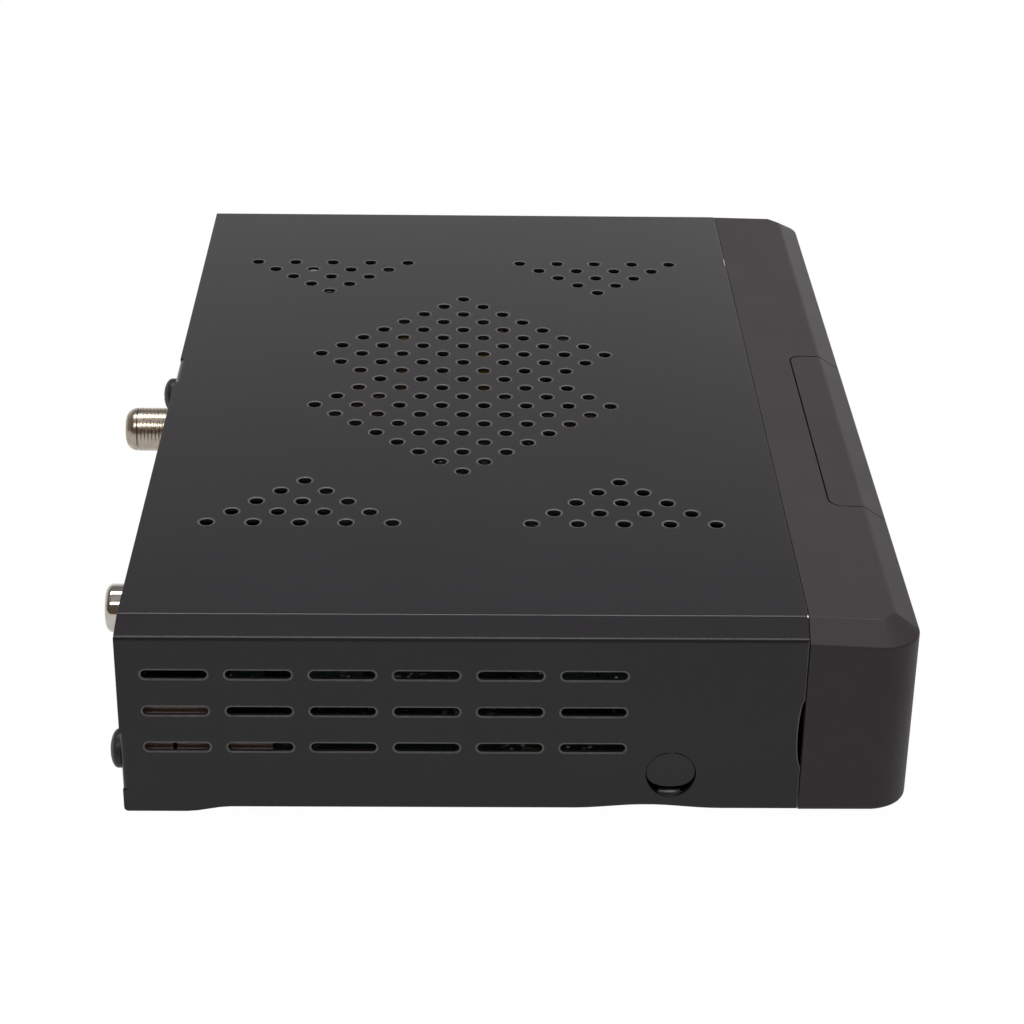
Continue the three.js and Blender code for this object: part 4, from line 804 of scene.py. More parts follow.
def tab_shapes():
    """The gap round a side tab, and chains across its disc."""
    y, z = TAB_CENTRE
    gap, chains = [], []
    outer, inner = (TAB_RADIUS, TAB_SAG, range(57)), (TAB_RADIUS - TAB_GAP, -TAB_CRESCENT, range(56, -1, -1))
    for reach, fall, turns in (outer, inner):
        for i in turns:
            angle = math.radians(5 + 350 * i / 56)
            down = max(0.0, -math.cos(angle)) ** 2
            gap.append((z + reach * math.cos(angle) - fall * down, y + reach * math.sin(angle)))
    centre, radius = z + TAB_CRESCENT / 2, TAB_RADIUS - TAB_CRESCENT / 2
    for i in range(1, 12):
        along = centre + (radius - 0.9) * math.cos(PI * i / 12)
        half = 0.8 * math.sqrt(max(0.5, radius**2 - (along - centre) ** 2))
        chains.append([(along, y - half), (along, y + half)])
    return gap, chains


def cover_outline():
    """The cover's outline in the flat pattern, and the lines that its bends need."""
    low, high, depth = RELIEF
    relief = []
    for share in (i / 24 for i in range(25)):
        relief.append((low + (high - low) * share, FRONT + depth * math.sqrt(abs(math.sin(PI * share)))))
    lower = [FRONT + (REAR - EDGE_ROUND - FRONT) * i / 60 for i in range(61)]
    lower += [REAR - v for v in (0.5, 0.25, 0.08, 0)]
    front = [(low_edge(FRONT), FRONT)] + relief + [(s, FRONT) for s in sorted(FOLDS + WORN)]
    front += other_side(relief) + [(LENGTH - low_edge(y), y) for y in lower]
    rear = [(low_edge(y), y) for y in lower[1:]]
    lines = [[(s, FRONT + FRONT_RIM), (s, REAR - EDGE_RIM)] for s in FOLDS]
    ends = [centre for centre, _, _ in EARS[1:]] + [LENGTH]
    for (centre, reach, _), end in zip(EARS, ends):
        outline, bends = ear_edge(centre, reach)
        rear += outline + [(s, REAR) for s in FOLDS if centre < s < end]
        lines += bends
    return front + rear[::-1], lines


def cover_holes():
    """The screw holes, vents and slots, each as (loop, rim width, rim's look)."""
    flat = BEND_START + BEND_LENGTH - BEND_RADIUS
    holes = [(ring((centre, flat + height), EAR_HOLE, 20), EAR_RIM, 0) for centre, _, height in EARS]
    for x, y in vent_centres():
        holes.append((ring((TOP_ZERO + x, y), VENT_RADIUS, 28), VENT_RIM, 1))
    for column in range(6):
        for row in range(3):
            centre = (SLOT_FIRST[0] - column * SLOT_PITCH[0], SLOT_FIRST[1] + row * SLOT_PITCH[1])
            slot = [(z, y) for y, z in reversed(stadium(centre, *SLOT_SIZE, 10))]
            holes += [(slot, SLOT_RIM, 2), (other_side(slot), SLOT_RIM, 2)]
    return holes


def cover_look(one, two):
    """The front edge is painted lighter along the sides, a painted highlight on the sheet's edge, and bare at
    the upper bends and where it is worn.
    """
    near, far = sorted(min(p[0], LENGTH - p[0]) for p in (one, two))
    if one[1] > FRONT + 1 or two[1] > FRONT + 1:
        return 0
    rubbed = WORN[0] - 0.1 < min(one[0], two[0]) and max(one[0], two[0]) < WORN[1] + 0.1
    if HIGH_BEND - 0.9 < near and far < HIGH_BEND + 0.9 or rubbed:
        return BARE
    # along the sides the rim takes the lighter look 1, a painted highlight on the sheet's edge
    return 1 if near < LOW_BEND else 0


def make_cover():
    """The painted cover, folded from its flat pattern."""
    outline, lines = cover_outline()
    gap, chains = tab_shapes()
    holes = cover_holes() + [(gap, TAB_RIM, 0), (other_side(gap), TAB_RIM, 0)]
    lines += chains + [[(LENGTH - s, y) for s, y in chain] for chain in chains]
    rows = [(sheet, outline, holes, lines, fold, EDGE_RIM, FRONT_RIM, cover_look)]
    obj = solid("case_cover", ("paint", "vent_edge", "edge", "zinc"), rows)
    finish(obj, ["top_cover"], angle=35)


# ---- Rear panel, pan, feet and screws ----


def case_section(inset, low):
    """The case's section set inwards, counter-clockwise from its lower right."""
    run = math.hypot(BEND_IN, BEND_DROP)
    side = HALF_WIDTH - inset
    shoulder = HEIGHT - BEND_DROP - inset * (run - BEND_DROP) / BEND_IN
    top = HALF_WIDTH - BEND_IN - inset * (run - BEND_IN) / BEND_DROP
    right = [(side, low), (side, shoulder), (top, HEIGHT - inset)]
    return right + [(-x, z) for x, z in reversed(right)]


def make_rear_panel():
    """The panel that closes the rear, with the openings of its connectors."""
    loops = [ring(LNB, 5.05, 40), ring(COAX, 5.05, 40), ring(AV, 3.5, 32)]
    for x, width, height in (HDMI, USB, INLET):
        loops.append(rounded(middle(x, width + 2 * FIT), (ON_BOARD - FIT, ON_BOARD + height + FIT), 0.5))
    loops += [ring(spot, EAR_HOLE, 20) for spot in REAR_SCREWS.values()]
    hole_rim, edge = 0.22, 0.14
    holes = [(loop, hole_rim, 1) for loop in loops]

    def mapping(x, z, depth):
        return Vector((x, PANEL_REAR + depth, z))

    outline = case_section(SHEET + FIT, SHEET + FIT)
    obj = solid("panel_rear", ("paint", "edge"), [(sheet, outline, holes, [], mapping, edge)])
    finish(obj, ["rear_panel"], angle=35)


def make_pan():
    """The floor with its side flanges, stop edges and board bosses."""
    side, front, rear = HALF_WIDTH - SHEET - FIT, FRONT + FIT, PANEL_FACE - FIT
    outer = fillet([(-side, 8), (-side, 0), (side, 0), (side, 8)], (1.2, 1.2))
    across = side - SHEET
    inner = fillet([(-across, 8), (-across, SHEET), (across, SHEET), (across, 8)], (0.4, 0.4))
    rows = [
        (prism, outer + inner[::-1], "y", front, rear),
        (box, (-side + 1.2, side - 1.2), (rear, PANEL_REAR), (0, SHEET)),
        (box, (-side + 0.9, side - 0.9), (front, front + SHEET), (SHEET, 5)),
    ]
    boss = [(1.5, SHEET), (4.2, SHEET), (3.3, 1.6), (3.0, 5.0), (1.5, 5.0)]
    obj = solid("pan", ["zinc"], rows + [(lathe, boss, "z", spot, 24) for spot in BOARD_SCREWS.values()])
    y, low, nib = TAB_CENTRE[0], TAB_CENTRE[1] - 4.9, TAB_CENTRE[1] - 4.35
    half = [(5.6, low), (2.05, low), (1.9, nib)]
    relief = [(y - a, z) for a, z in half] + [(y + a, z) for a, z in reversed(half)]
    relief += [(y + 5.6, 9), (y - 5.6, 9)]
    boolean(obj, [(prism, relief, "x", -HALF_WIDTH, HALF_WIDTH)])
    finish(obj, ["base_pan"])


def make_feet():
    """Four rubber feet, each with a plug in the floor."""
    profile = [(0, 0.8), (2, 0.8), (2, -0.3), (5.4, -0.3), (6, -0.7), (5.7, -2.0), (5.1, -2.5)]
    profile += [(3.6, -2.5), (3.2, -2.2), (0, -2.2)]
    for end, y in (("front", -47.4), ("rear", 47.4)):
        for side, x in (("left", -87), ("right", 87)):
            foot = "foot_%s_%s" % (end, side)
            rows = [(lathe, profile, "z", (x, y), 40)]
            make("rubber_" + foot, ["rubber"], rows, [foot], rounding=0.25, segments=3)


def cross(bm, top, span, axis, centre):
    """The recess of a cross-head screw: two tapered slots that run through each other."""
    for one, two in ((span, span * 0.25), (span * 0.25, span)):
        rows = []
        for along, share in ((top - 1.2, 0.75), (top + 1, 1.25)):
            corners = [(centre[0] + a * one / 2 * share, centre[1] + b * two / 2 * share) for a, b in SQUARE]
            rows.append([AXES[axis](*corner, along) for corner in corners])
        loft(bm, rows)


def cross_screw(name, node_name, look, profile, span, axis, centre):
    """A screw with a cross recess, from its profile of (radius, along)."""
    obj = solid(name, [look], [(lathe, profile, axis, centre, 36)])
    boolean(obj, [(cross, profile[-1][1], span, axis, centre)], crossing=True)
    finish(obj, [node_name])


def make_screws():
    """The black screws of the case and the bright ones of the boards."""
    for node_name, spot in REAR_SCREWS.items():
        tall, base = (3.0, REAR + 0.1) if node_name.endswith("top") else (2.4, REAR + REAR_LEAN)
        turns = [PI / 2 * i / 8 for i in range(8)]
        dome = [(3.6 * math.cos(a), base + tall * 0.4 + tall * 0.6 * math.sin(a)) for a in turns]
        head = [(0, base - 6), (1.3, base - 6), (1.3, base), (3.45, base), (3.6, base + 0.2)]
        head += dome + [(0, base + tall)]
        cross_screw("case_" + node_name, node_name, "screw", head, 3.6, "y", spot)
    screws = [(name, "can", ON_BOARD, "z", spot) for name, spot in BOARD_SCREWS.items()]
    for number, x in enumerate(FRONT_SCREW_X):
        name = "front_board_screw_%d" % (number + 1)
        screws.append((name, "zinc", BEHIND_BOARD, "y", (x, FRONT_SCREW_Z)))
    for name, look, seat, axis, spot in screws:
        profile = [(0, -5), (1.2, -5), (1.2, 0), (2.75, 0), (2.75, 0.9), (2.1, 1.6), (1.2, 1.8), (0, 1.8)]
        cross_screw(name + "_head", name, look, moved(profile, seat), 2.8, axis, spot)


# ---- Rear connectors ----

THREAD_STEPS = 56
NUT_Y = (60.6, 62.8)


def make_antenna_connector():
    """The threaded connector, its insulator and its nut."""
    tip, (start, end) = REAR + 13, NUT_Y
    bm = bmesh.new()
    low, high = threaded(bm, LNB, 61.0, tip - 2.9, 4.75, 0.06, 0.794, THREAD_STEPS)
    skin(bm, low, [(4.75, PANEL_FACE + 0.4), (4.4, PANEL_FACE), (0, PANEL_FACE)], LNB, THREAD_STEPS)
    nose = [(4.58, -2.8), (4.58, -2.65), (4.7, -2.5), (4.66, -1.9), (4.45, -1.3), (4.05, -0.7)]
    nose += [(3.5, -0.25), (2.8, 0), (2.3, 0), (2.15, -0.15), (2.15, -0.5), (0, -0.5)]
    skin(bm, high, moved(nose, tip), LNB, THREAD_STEPS)
    finish(add_object("antenna_barrel", bm, [LOOKS["nickel"]]), ["lnb_connector"], angle=40)
    profile = moved([(0.9, -3.6), (2.1, -3.6), (2.1, -0.45), (1.3, -0.25), (0.9, -0.4)], tip)
    make("antenna_insulator", ["white"], [(lathe, profile, "y", LNB, 40)], rounding=0)
    nut = solid("antenna_nut", ["nickel"], [(prism, ring(LNB, 6.4, 6, 30), "y", start, end)])
    chamfers = moved([(0, -0.1), (5.7, -0.1), (6.5, 0.4)], start)
    chamfers += moved([(6.5, -0.4), (5.7, 0.1), (0, 0.1)], end)
    boolean(nut, [(lathe, chamfers, "y", LNB, 48)], "INTERSECT")
    boolean(nut, [(rod, 4.95, start - 0.6, end + 0.4, "y", LNB, 48)])
    finish(nut, ["lnb_nut"], angle=25)


def make_coax_jack():
    """The smooth jack with its box inside, its insulator and its contact."""
    tip, radius, lip = REAR + 7.6, 4.75, 1.4
    profile = [(0, PANEL_FACE - 1.3), (radius, PANEL_FACE - 1.3)]
    profile += arc((radius - lip, tip - lip), lip, 0, 90, 8)[:-1]
    profile += moved([(3.3, -0.02), (3.05, -0.2), (3.0, -0.6), (3.0, -7), (0, -7)], tip)
    rows = [
        (lathe, profile, "y", COAX, 64),
        (box, middle(COAX[0], 12), (PANEL_FACE - 14.3, PANEL_FACE - FIT), (ON_BOARD, COAX[1] + 6)),
    ]
    make("coax_shell", ["chrome"], rows, ["coax_jack"], rounding=0, angle=40)
    profile = moved([(1.25, -7), (2.95, -7), (2.95, -3.2), (2.7, -2.9), (1.25, -2.9)], tip)
    make("coax_insulator", ["white"], [(lathe, profile, "y", COAX, 40)], rounding=0)
    profile = [(0, -7), (1.2, -7), (1.2, -2.0), (0.9, -1.7), (0.7, -1.7), (0.7, -4), (0, -4)]
    make("coax_contact", ["nickel"], [(lathe, moved(profile, tip), "y", COAX, 28)], rounding=0)


def make_socket(name, node_name, size, corner, contacts):
    """A metal socket whose lower corners are cut, with a tongue and its contacts."""
    x, width, height = size
    rear, centre = PANEL_REAR, ON_BOARD + height / 2
    half, wall = width / 2, 1.1
    outline = [(x - half + corner, ON_BOARD), (x + half - corner, ON_BOARD)]
    outline += [(x + half, ON_BOARD + corner * 1.3), (x + half, ON_BOARD + height)]
    outline += [(x - half, ON_BOARD + height), (x - half, ON_BOARD + corner * 1.3)]
    inner = []
    for a, b in outline:
        inner.append((x + (a - x) * (width - wall) / width, centre + (b - centre) * (height - wall) / height))
    obj = solid(name, ["tin"], [(prism, outline, "y", rear - 14, rear)])
    boolean(obj, [(prism, inner, "y", rear - 9, rear + 1)])
    bevel(obj, 0.15, 2, 25)
    finish(obj, [node_name])
    tongue = (box, middle(x, width - 4.2), (rear - 9, rear - 0.9), middle(centre, 1.7))
    make(name + "_tongue", ["black"], [tongue], rounding=0.2)
    span = width - 5.6
    pads = []
    for i in range(contacts):
        across = middle(x - span / 2 + span * i / (contacts - 1), 0.55)
        pads.append((box, across, (rear - 7.5, rear - 1.6), (centre - 0.98, centre - 0.8)))
    make(name + "_contacts", ["nickel"], pads, rounding=0.05)


def make_av_jack():
    """The round jack for picture and sound."""
    front = 50.4
    rows = [(box, middle(AV[0], 9), (46.2, PANEL_FACE - FIT), (ON_BOARD, ON_BOARD + 10))]
    obj = solid("av_socket", ["dark_brown"], rows)
    boolean(obj, [(rod, 3.15, front, 62, "y", AV, 40)])
    bevel(obj, 0.2)
    finish(obj, ["av_jack"])
    collar = [(2.1, front), (3.2, front), (3.2, REAR - 0.35), (2.9, REAR), (2.3, REAR), (2.1, REAR - 0.3)]
    make("av_collar", ["black"], [(lathe, collar, "y", AV, 40)], rounding=0)
    contact = [(1.8, front + 0.2), (2.05, front + 0.2), (2.05, REAR - 0.9), (1.8, REAR - 0.9)]
    make("av_contact", ["nickel"], [(lathe, contact, "y", AV, 32)], rounding=0)


def make_inlet():
    """The mains inlet with two pins."""
    x, width, height = INLET
    outside = PANEL_REAR + FIT
    rear, centre = outside + 1.2, ON_BOARD + height / 2
    flange = rounded(middle(x, width + 5), (ON_BOARD - 1.25, ON_BOARD + height + 2.5), 1.5, 6)
    rows = [
        (box, middle(x, width), (rear - 16, outside + 0.2), (ON_BOARD, ON_BOARD + height)),
        (prism, flange, "y", outside, rear),
    ]
    obj = solid("mains_socket", ["black"], rows)
    hollow = stadium((x, centre), 16, 8.4, 12)
    boolean(obj, [(prism, hollow, "y", rear - 12, rear + 1)], crossing=True)
    bevel(obj, 0.3, 3, 40)
    finish(obj, ["mains_inlet"])
    pin = moved([(0, -12.5), (1.2, -12.5), (1.2, -3.2), (0.9, -2.6), (0.4, -2.4), (0, -2.4)], rear)
    pins = [(lathe, pin, "y", (x + side * 4.3, centre), 28) for side in (-1, 1)]
    make("mains_pins", ["nickel"], pins, rounding=0)


# ---- Plastic front ----

FRONT_ROUNDING = (0.6, 1.2)
TOP_FALL = 0.5
TOP_TUCK = 0.7
BASE_FALL = 0.85
# Shift of the chamfer's upper and lower edge for each millimetre that the shape is set inwards
FASCIA_RUN = math.hypot(FASCIA_BEND_IN, FASCIA_BEND_DROP)
TOP_SHIFT = (FASCIA_RUN - FASCIA_BEND_IN) / FASCIA_BEND_DROP
SIDE_SHIFT = (FASCIA_RUN - FASCIA_BEND_DROP) / FASCIA_BEND_IN
SHOULDER = HEIGHT - FASCIA_BEND_DROP
BOSS = (-52.0, FRONT_SCREW_Z)
RIB_Y = (-80.1, -79.1)
BUTTONS = dict(zip(("power", "channel_down", "channel_up"), BUTTON_X))


def fall_share(y):
    """How far along the front's top a place is, from its rear edge to its front edge."""
    return clamp((FASCIA_REAR - y) / (FASCIA_REAR - FASCIA_TOP_EDGE))


def fascia_outline(inset, rear, straight=False, steps=12):
    """The front's plan set inwards, with round or straight corners."""
    x, y = FASCIA_SIDE + FASCIA_FLARE - FASCIA_CORNER, FASCIA_FRONT + FASCIA_CORNER
    radius = FASCIA_CORNER - inset
    if straight:
        right = [(x + radius * i / steps, y - radius + radius * i / steps) for i in range(steps + 1)]
    else:
        right = arc((x, y), radius, 270, 360, steps)
    left = [(-a, b) for a, b in reversed(right)]
    return [(-FASCIA_SIDE + inset, rear)] + left + right + [(FASCIA_SIDE - inset, rear)]


def fascia_body(bm, inset, rear, rounding=None):
    """The front's outer shape, set inwards."""
    upper = FASCIA_BEND_IN + inset * TOP_SHIFT
    low, high, shoulder = FASCIA_BASE + inset, HEIGHT - inset, SHOULDER - inset * SIDE_SHIFT
    profile = [(inset + 3, low), (inset, low), (inset, shoulder), (upper, high), (upper + 2, high)]
    if rounding:
        profile = fillet(profile, (0.9,) + rounding)
    round_ring = fascia_outline(inset, rear)
    upper_ring = fascia_outline(upper, rear, True)
    upper_ring = [(x - math.copysign(TOP_TUCK * fall_share(y), x), y) for x, y in upper_ring]
    rows = []
    for reach, z in profile[1:-1]:
        if z < HEIGHT / 2:
            outline = fascia_outline(reach, rear)
            fall = [BASE_FALL * (1 - fall_share(y)) for _, y in outline]
        else:
            share = (reach - inset) / (upper - inset)
            pairs = zip(round_ring, upper_ring)
            outline = [(a + (c - a) * share, b + (d - b) * share) for (a, b), (c, d) in pairs]
            fall = [TOP_FALL * clamp(share) * fall_share(y) for _, y in outline]
        rows.append([bm.verts.new((x, y, z - drop)) for (x, y), drop in zip(outline, fall)])
    bm.faces.new(rows[0])
    for one, two in zip(rows, rows[1:]):
        band(bm, one, two)
    top, count = rows[-1], len(rows[-1])
    for i in range(count // 2 - 1):
        bm.faces.new((top[i], top[i + 1], top[count - 2 - i], top[count - 1 - i]))


def door_plan(gap):
    """Plan of the door's opening, with a gap round it."""
    x, y = (DOOR_X[0] - gap, DOOR_X[1] + gap), (FASCIA_FRONT - 8, TONGUE_REAR + gap)
    return rounded(x, y, DOOR_CORNER + gap, 8)


def make_fascia():
    """The hollow front moulding with the recess behind its door."""
    outside = [(fascia_body, 0, FASCIA_REAR, FRONT_ROUNDING)]
    obj, block = solid("front_moulding", ["front"], outside), solid("block", [], outside)
    boolean(obj, [(fascia_body, FASCIA_WALL, FASCIA_REAR + 1)])
    lump = (box, (DOOR_X[0] - 2, DOOR_X[1] + 2), (FASCIA_FRONT - 1, RECESS_BACK), (0, HEIGHT + 1))
    boolean(block, [lump], "INTERSECT")
    boolean(obj, block, "UNION")
    lip = case_section(SHEET + FIT, 26) + case_section(SHEET + 1.5, 26)[::-1]
    boolean(obj, [(prism, lip, "y", FASCIA_REAR - 1, FRONT + 3.5)], "UNION")
    boss = [(1.3, -69), (2.5, -80.5), (2.5, BEFORE_BOARD), (1.3, BEFORE_BOARD)]
    bosses = [(lathe, boss, "y", (x, FRONT_SCREW_Z), 24) for x in FRONT_SCREW_X]
    bosses.append((prism, ring(BOSS, 2.5, 24), "y", RECESS_BACK - 0.8, BEFORE_BOARD))
    boolean(obj, bosses, "UNION")
    boolean(obj, [(prism, door_plan(SEAM), "z", RECESS_FLOOR, HEIGHT + 1)])
    through, gap = (RECESS_REAR - 1, RECESS_BACK + 1), 0.15
    holes = []
    for x in BUTTON_X:
        holes.append((prism, rounded(middle(x, 9.5), middle(BUTTON_Z, 5.5), 1.45, 5), "y", *through))
    window = rounded((WINDOW_X[0] - gap, WINDOW_X[1] + gap), (WINDOW_Z[0] - gap, WINDOW_Z[1] + gap), 0.55)
    holes += [
        (box, CARD_X, through, CARD_SLOT),
        (prism, window, "y", FASCIA_FRONT - 1, FASCIA_FRONT + 3),
        (prism, ring(HINGE, 1.1, 24), "x", DOOR_X[0] - 1.8, DOOR_X[1] + 1.8),
    ]
    boolean(obj, holes)
    finish(obj, ["front_fascia"], angle=32)


def make_door():
    """The drop-down door with ribs inside and two hinge pins."""
    wall, (left, right) = DOOR_THICKNESS, DOOR_X
    inner = [(FASCIA_FRONT + wall, SHOULDER - wall * SIDE_SHIFT)]
    inner += [(FASCIA_TOP_EDGE + wall * TOP_SHIFT, HEIGHT - wall), (TONGUE_REAR, HEIGHT - wall)]
    outer = [(TONGUE_REAR, HEIGHT), (FASCIA_TOP_EDGE, HEIGHT), (FASCIA_FRONT, SHOULDER)]
    outer = fillet(outer + [(FASCIA_FRONT, HINGE[1])], FRONT_ROUNDING[::-1])[:-1]
    outline = arc(HINGE, wall, 180, 450, 24) + inner + outer
    obj = solid("front_flap", ["front"], [(prism, outline, "x", left, right)])
    boolean(obj, [(prism, door_plan(0), "z", 0, HEIGHT + 1)], "INTERSECT")
    bevel(obj, 0.12, 2, 50)
    rib = [(RIB_Y[0], 9), (RIB_Y[1], 9.6), (RIB_Y[1], 31), (RIB_Y[0], 31.6)]
    extras = [(prism, rib, "x", *middle(x, 1)) for x in (left + 12, (left + right) / 2, right - 12)]
    extras += [(box, (left + 5, right - 5), (RIB_Y[0], RIB_Y[1] - 0.2), middle(z, 1)) for z in (12, 29)]
    for ends in ((left - 1.7, left + 0.5), (right - 0.5, right + 1.7)):
        extras.append((prism, ring(HINGE, 0.8, 20), "x", *ends))
    boolean(obj, extras, "UNION", crossing=True)
    for vertex in obj.data.vertices:
        near = (vertex.co.z - SHOULDER) / FASCIA_BEND_DROP
        vertex.co.z -= TOP_FALL * clamp(near) * fall_share(vertex.co.y)
    finish(obj, ["front_door"], "door", 32)


def make_buttons():
    """Three buttons, each with a flange behind the recess."""
    front, back = RECESS_REAR - 3, RECESS_BACK + 0.3
    levels = [(0, back)] + moved([(0, 0.9), (0.12, 0.45), (0.45, 0.14), (1.1, 0), (2.2, 0)], front)
    for key, x in BUTTONS.items():
        cap = []
        for inset, along in levels:
            sides = middle(x, 9 - 2 * inset), middle(BUTTON_Z, 5 - 2 * inset)
            cap.append([(a, along, b) for a, b in rounded(*sides, max(0.25, 1.2 - inset * 0.5), 6)])
        flange = rounded(middle(x, 10.6), middle(BUTTON_Z, 6.6), 1.4)
        rows = [(loft, cap), (prism, flange, "y", back, back + 0.8)]
        node_name = key + "_button"
        make(node_name + "_cap", ["black"], rows, [node_name], key + "_key", 0, angle=35)


def make_display():
    """The window and what stands behind it."""
    pane = (prism, rounded(WINDOW_X, WINDOW_Z, 0.4, 5), "y", FASCIA_FRONT + 0.1, FASCIA_FRONT + FASCIA_WALL)
    make("smoked_pane", ["window"], [pane], ["display_window"], rounding=0.18, segments=3)
    rear, digits = BEFORE_BOARD, 6.6
    rows = [(box, (26, 66), (rear - digits, rear), (14, 28))]
    make("digit_block", ["black"], rows, ["display_module"], rounding=0.25)
    rows, depth = [], (rear - digits - 0.08, rear - digits + 0.08)
    for digit in range(4):
        left = 29.3 + digit * 9.4
        rows += [(box, (left + 0.7, left + 4.7), depth, middle(z, 0.8)) for z in (17, 21, 25)]
        for x in (left + 0.2, left + 5.1):
            rows += [(box, middle(x, 0.8), depth, middle(z, 3.0)) for z in (19, 23)]
    make("digit_segments", ["segment"], rows, rounding=0)
    lens = moved([(0, -6.3), (0.8, -6.15), (1.3, -5.7), (1.5, -5.2), (1.5, -3), (0, -3)], rear)
    rows = [(box, middle(78, 6), (rear - 5.3, rear), (17.5, 24.5)), (lathe, lens, "y", (78, 21), 28)]
    make("remote_eye", ["chip"], rows, ["ir_receiver"], rounding=0.15)
    turns = [PI / 2 * i / 6 for i in range(6)]
    dome = [(1.5 * math.cos(a), rear - 3.8 - 1.5 * math.sin(a)) for a in turns]
    rows = [(lathe, [(0, rear), (1.5, rear)] + dome + [(0, rear - 5.3)], "y", (71, 21), 28)]
    make("standby_lamp", ["lens"], rows, ["standby_led"], rounding=0)


def make_switches():
    """A small switch behind each button."""
    plunger = moved([(0, -3.0), (1.6, -3.0), (1.75, -2.9), (1.75, -1.3), (0, -1.3)], BEFORE_BOARD)
    for number, x in enumerate(BUTTON_X):
        name = "tact_switch_%d" % (number + 1)
        body = (box, middle(x, 6), (BEFORE_BOARD - 2.5, BEFORE_BOARD), middle(BUTTON_Z, 6))
        rows = [body, (lathe, plunger, "y", (x, BUTTON_Z), 24)]
        make(name + "_body", ["black"], rows, [name], rounding=0.15)


# ---- Boards and what stands on them ----

PROCESSOR = (-12.04, 7.97)
MEMORY = (-51.94, 7.97)
TUNER = ((-2.8, 33.2), (32.2, 59.2))
LEAD_PITCH = 1.27
CAP_SHARE = 0.28  # of a small part's length, at each end
CAP_LAP = 0.02  # by which the caps stand out
BETWEEN_BOARDS = 44  # on X
# Ground (x from, x to, y from, y to) that small parts keep clear of
MAIN_BLOCKED = [
    (-53, 8, -57, -19),
    (-28, 4, -8, 24),
    (-60, -44, -4, 20),
    (-5, 36, 30, 59),
    (-34, -16, 44, 60),
    (-53, -37, 44, 60),
    (-88, -76, 44, 60),
    (-70, -55, 43, 60),
    (11, 30, -57, -44),
]
POWER_BLOCKED = [
    (50, 78, -10, 18),
    (75, 93, -31, -13),
    (54, 66, -44, -18),
    (72, 96, 22, 32),
    (61, 87, 43, 54),
    (78, 98, 31, 43.5),
    (87, 98, -13, 1),
    (89, 98, 14, 23.5),
]


def ground(x, y, width, depth, gap=0.0):
    """The ground that a part takes up, with a gap round it."""
    return (x - width / 2 - gap, x + width / 2 + gap, y - depth / 2 - gap, y + depth / 2 + gap)


for spot in BOARD_SCREWS.values():
    (MAIN_BLOCKED if spot[0] < BETWEEN_BOARDS else POWER_BLOCKED).append(ground(*spot, 8, 8))


def make_boards():
    """Both flat boards with their screw holes, and the upright front board."""
    for name, (x_range, y_range) in BOARDS.items():
        look = "green" if name == "main_board" else "brown"
        obj = solid(name + "_sheet", [look], [(box, x_range, y_range, (BOARD_LOW, BOARD_TOP))])
        spots = [spot for screw, spot in BOARD_SCREWS.items() if screw.startswith(name)]
        boolean(obj, [(prism, ring(spot, 1.5, 20), "z", BOARD_LOW - 0.3, BOARD_TOP + 0.6) for spot in spots])
        finish(obj, [name])
    rows = [(box, (-56, 92), FRONT_BOARD_Y, (14.5, 35))]
    make("front_board_sheet", ["green_upright"], rows, ["front_board"], rounding=0)


def scatter(seed, count, name, blocked, sizes):
    """Seeded places (x, y, width, depth) on a board for parts that keep clear of each other."""
    chance = random.Random(seed)
    taken, found = list(blocked), []
    for _ in range(count * 6):
        if len(found) == count:
            break
        width, depth = chance.choice(sizes)
        if chance.random() < 0.5:
            width, depth = depth, width
        x, y = (
            chance.uniform(low + 2 + size / 2, high - 2 - size / 2)
            for (low, high), size in zip(BOARDS[name], (width, depth))
        )
        own = ground(x, y, width, depth, 0.5)
        if any(own[0] < b and own[1] > a and own[2] < d and own[3] > c for a, b, c, d in taken):
            continue
        taken.append(own)
        found.append((x, y, width, depth))
    return found


def chip_rows(parts):
    """Small parts with a bright cap at each end."""
    rows = []
    for i, (x, y, width, depth) in enumerate(parts):
        cut = CAP_SHARE * max(width, depth)
        top = BOARD_TOP + (0.55 if i % 3 else 0.8)
        rows.append((box, middle(x, width), middle(y, depth), (BOARD_TOP, top), 0 if i % 2 else 1))
        for side in (-1, 1):
            if width > depth:
                cap = middle(x + side * (width - cut) / 2, cut + CAP_LAP), middle(y, depth + CAP_LAP)
            else:
                cap = middle(x, width + CAP_LAP), middle(y + side * (depth - cut) / 2, cut + CAP_LAP)
            rows.append((box, *cap, (BOARD_TOP, top + CAP_LAP), 2))
    return rows


def package_rows(parts):
    """Black packages with a row of leads on both sides."""
    rows = []
    for x, y, width, depth in parts:
        rows.append((box, middle(x, width - 1), middle(y, depth), (BOARD_TOP + 0.1, BOARD_TOP + 1.3)))
        count = int(depth / LEAD_PITCH)
        for i in range(count):
            lead = middle(y + (i - (count - 1) / 2) * LEAD_PITCH, 0.45)
            rows.append((box, middle(x, width + 0.6), lead, (BOARD_TOP, BOARD_TOP + 0.25), 1))
    return rows


def can_rows(parts):
    """Small metal cans with a groove near their foot."""
    rows = []
    for x, y, width, _ in parts:
        r = width / 2
        profile = [(0, 0), (r, 0), (r, 0.5), (r - 0.15, 0.8), (r, 1.1), (r, width + 0.6)]
        profile += [(r - 0.3, width + 0.9), (0, width + 0.9)]
        rows.append((lathe, moved(profile, BOARD_TOP), "z", (x, y), 28))
    return rows


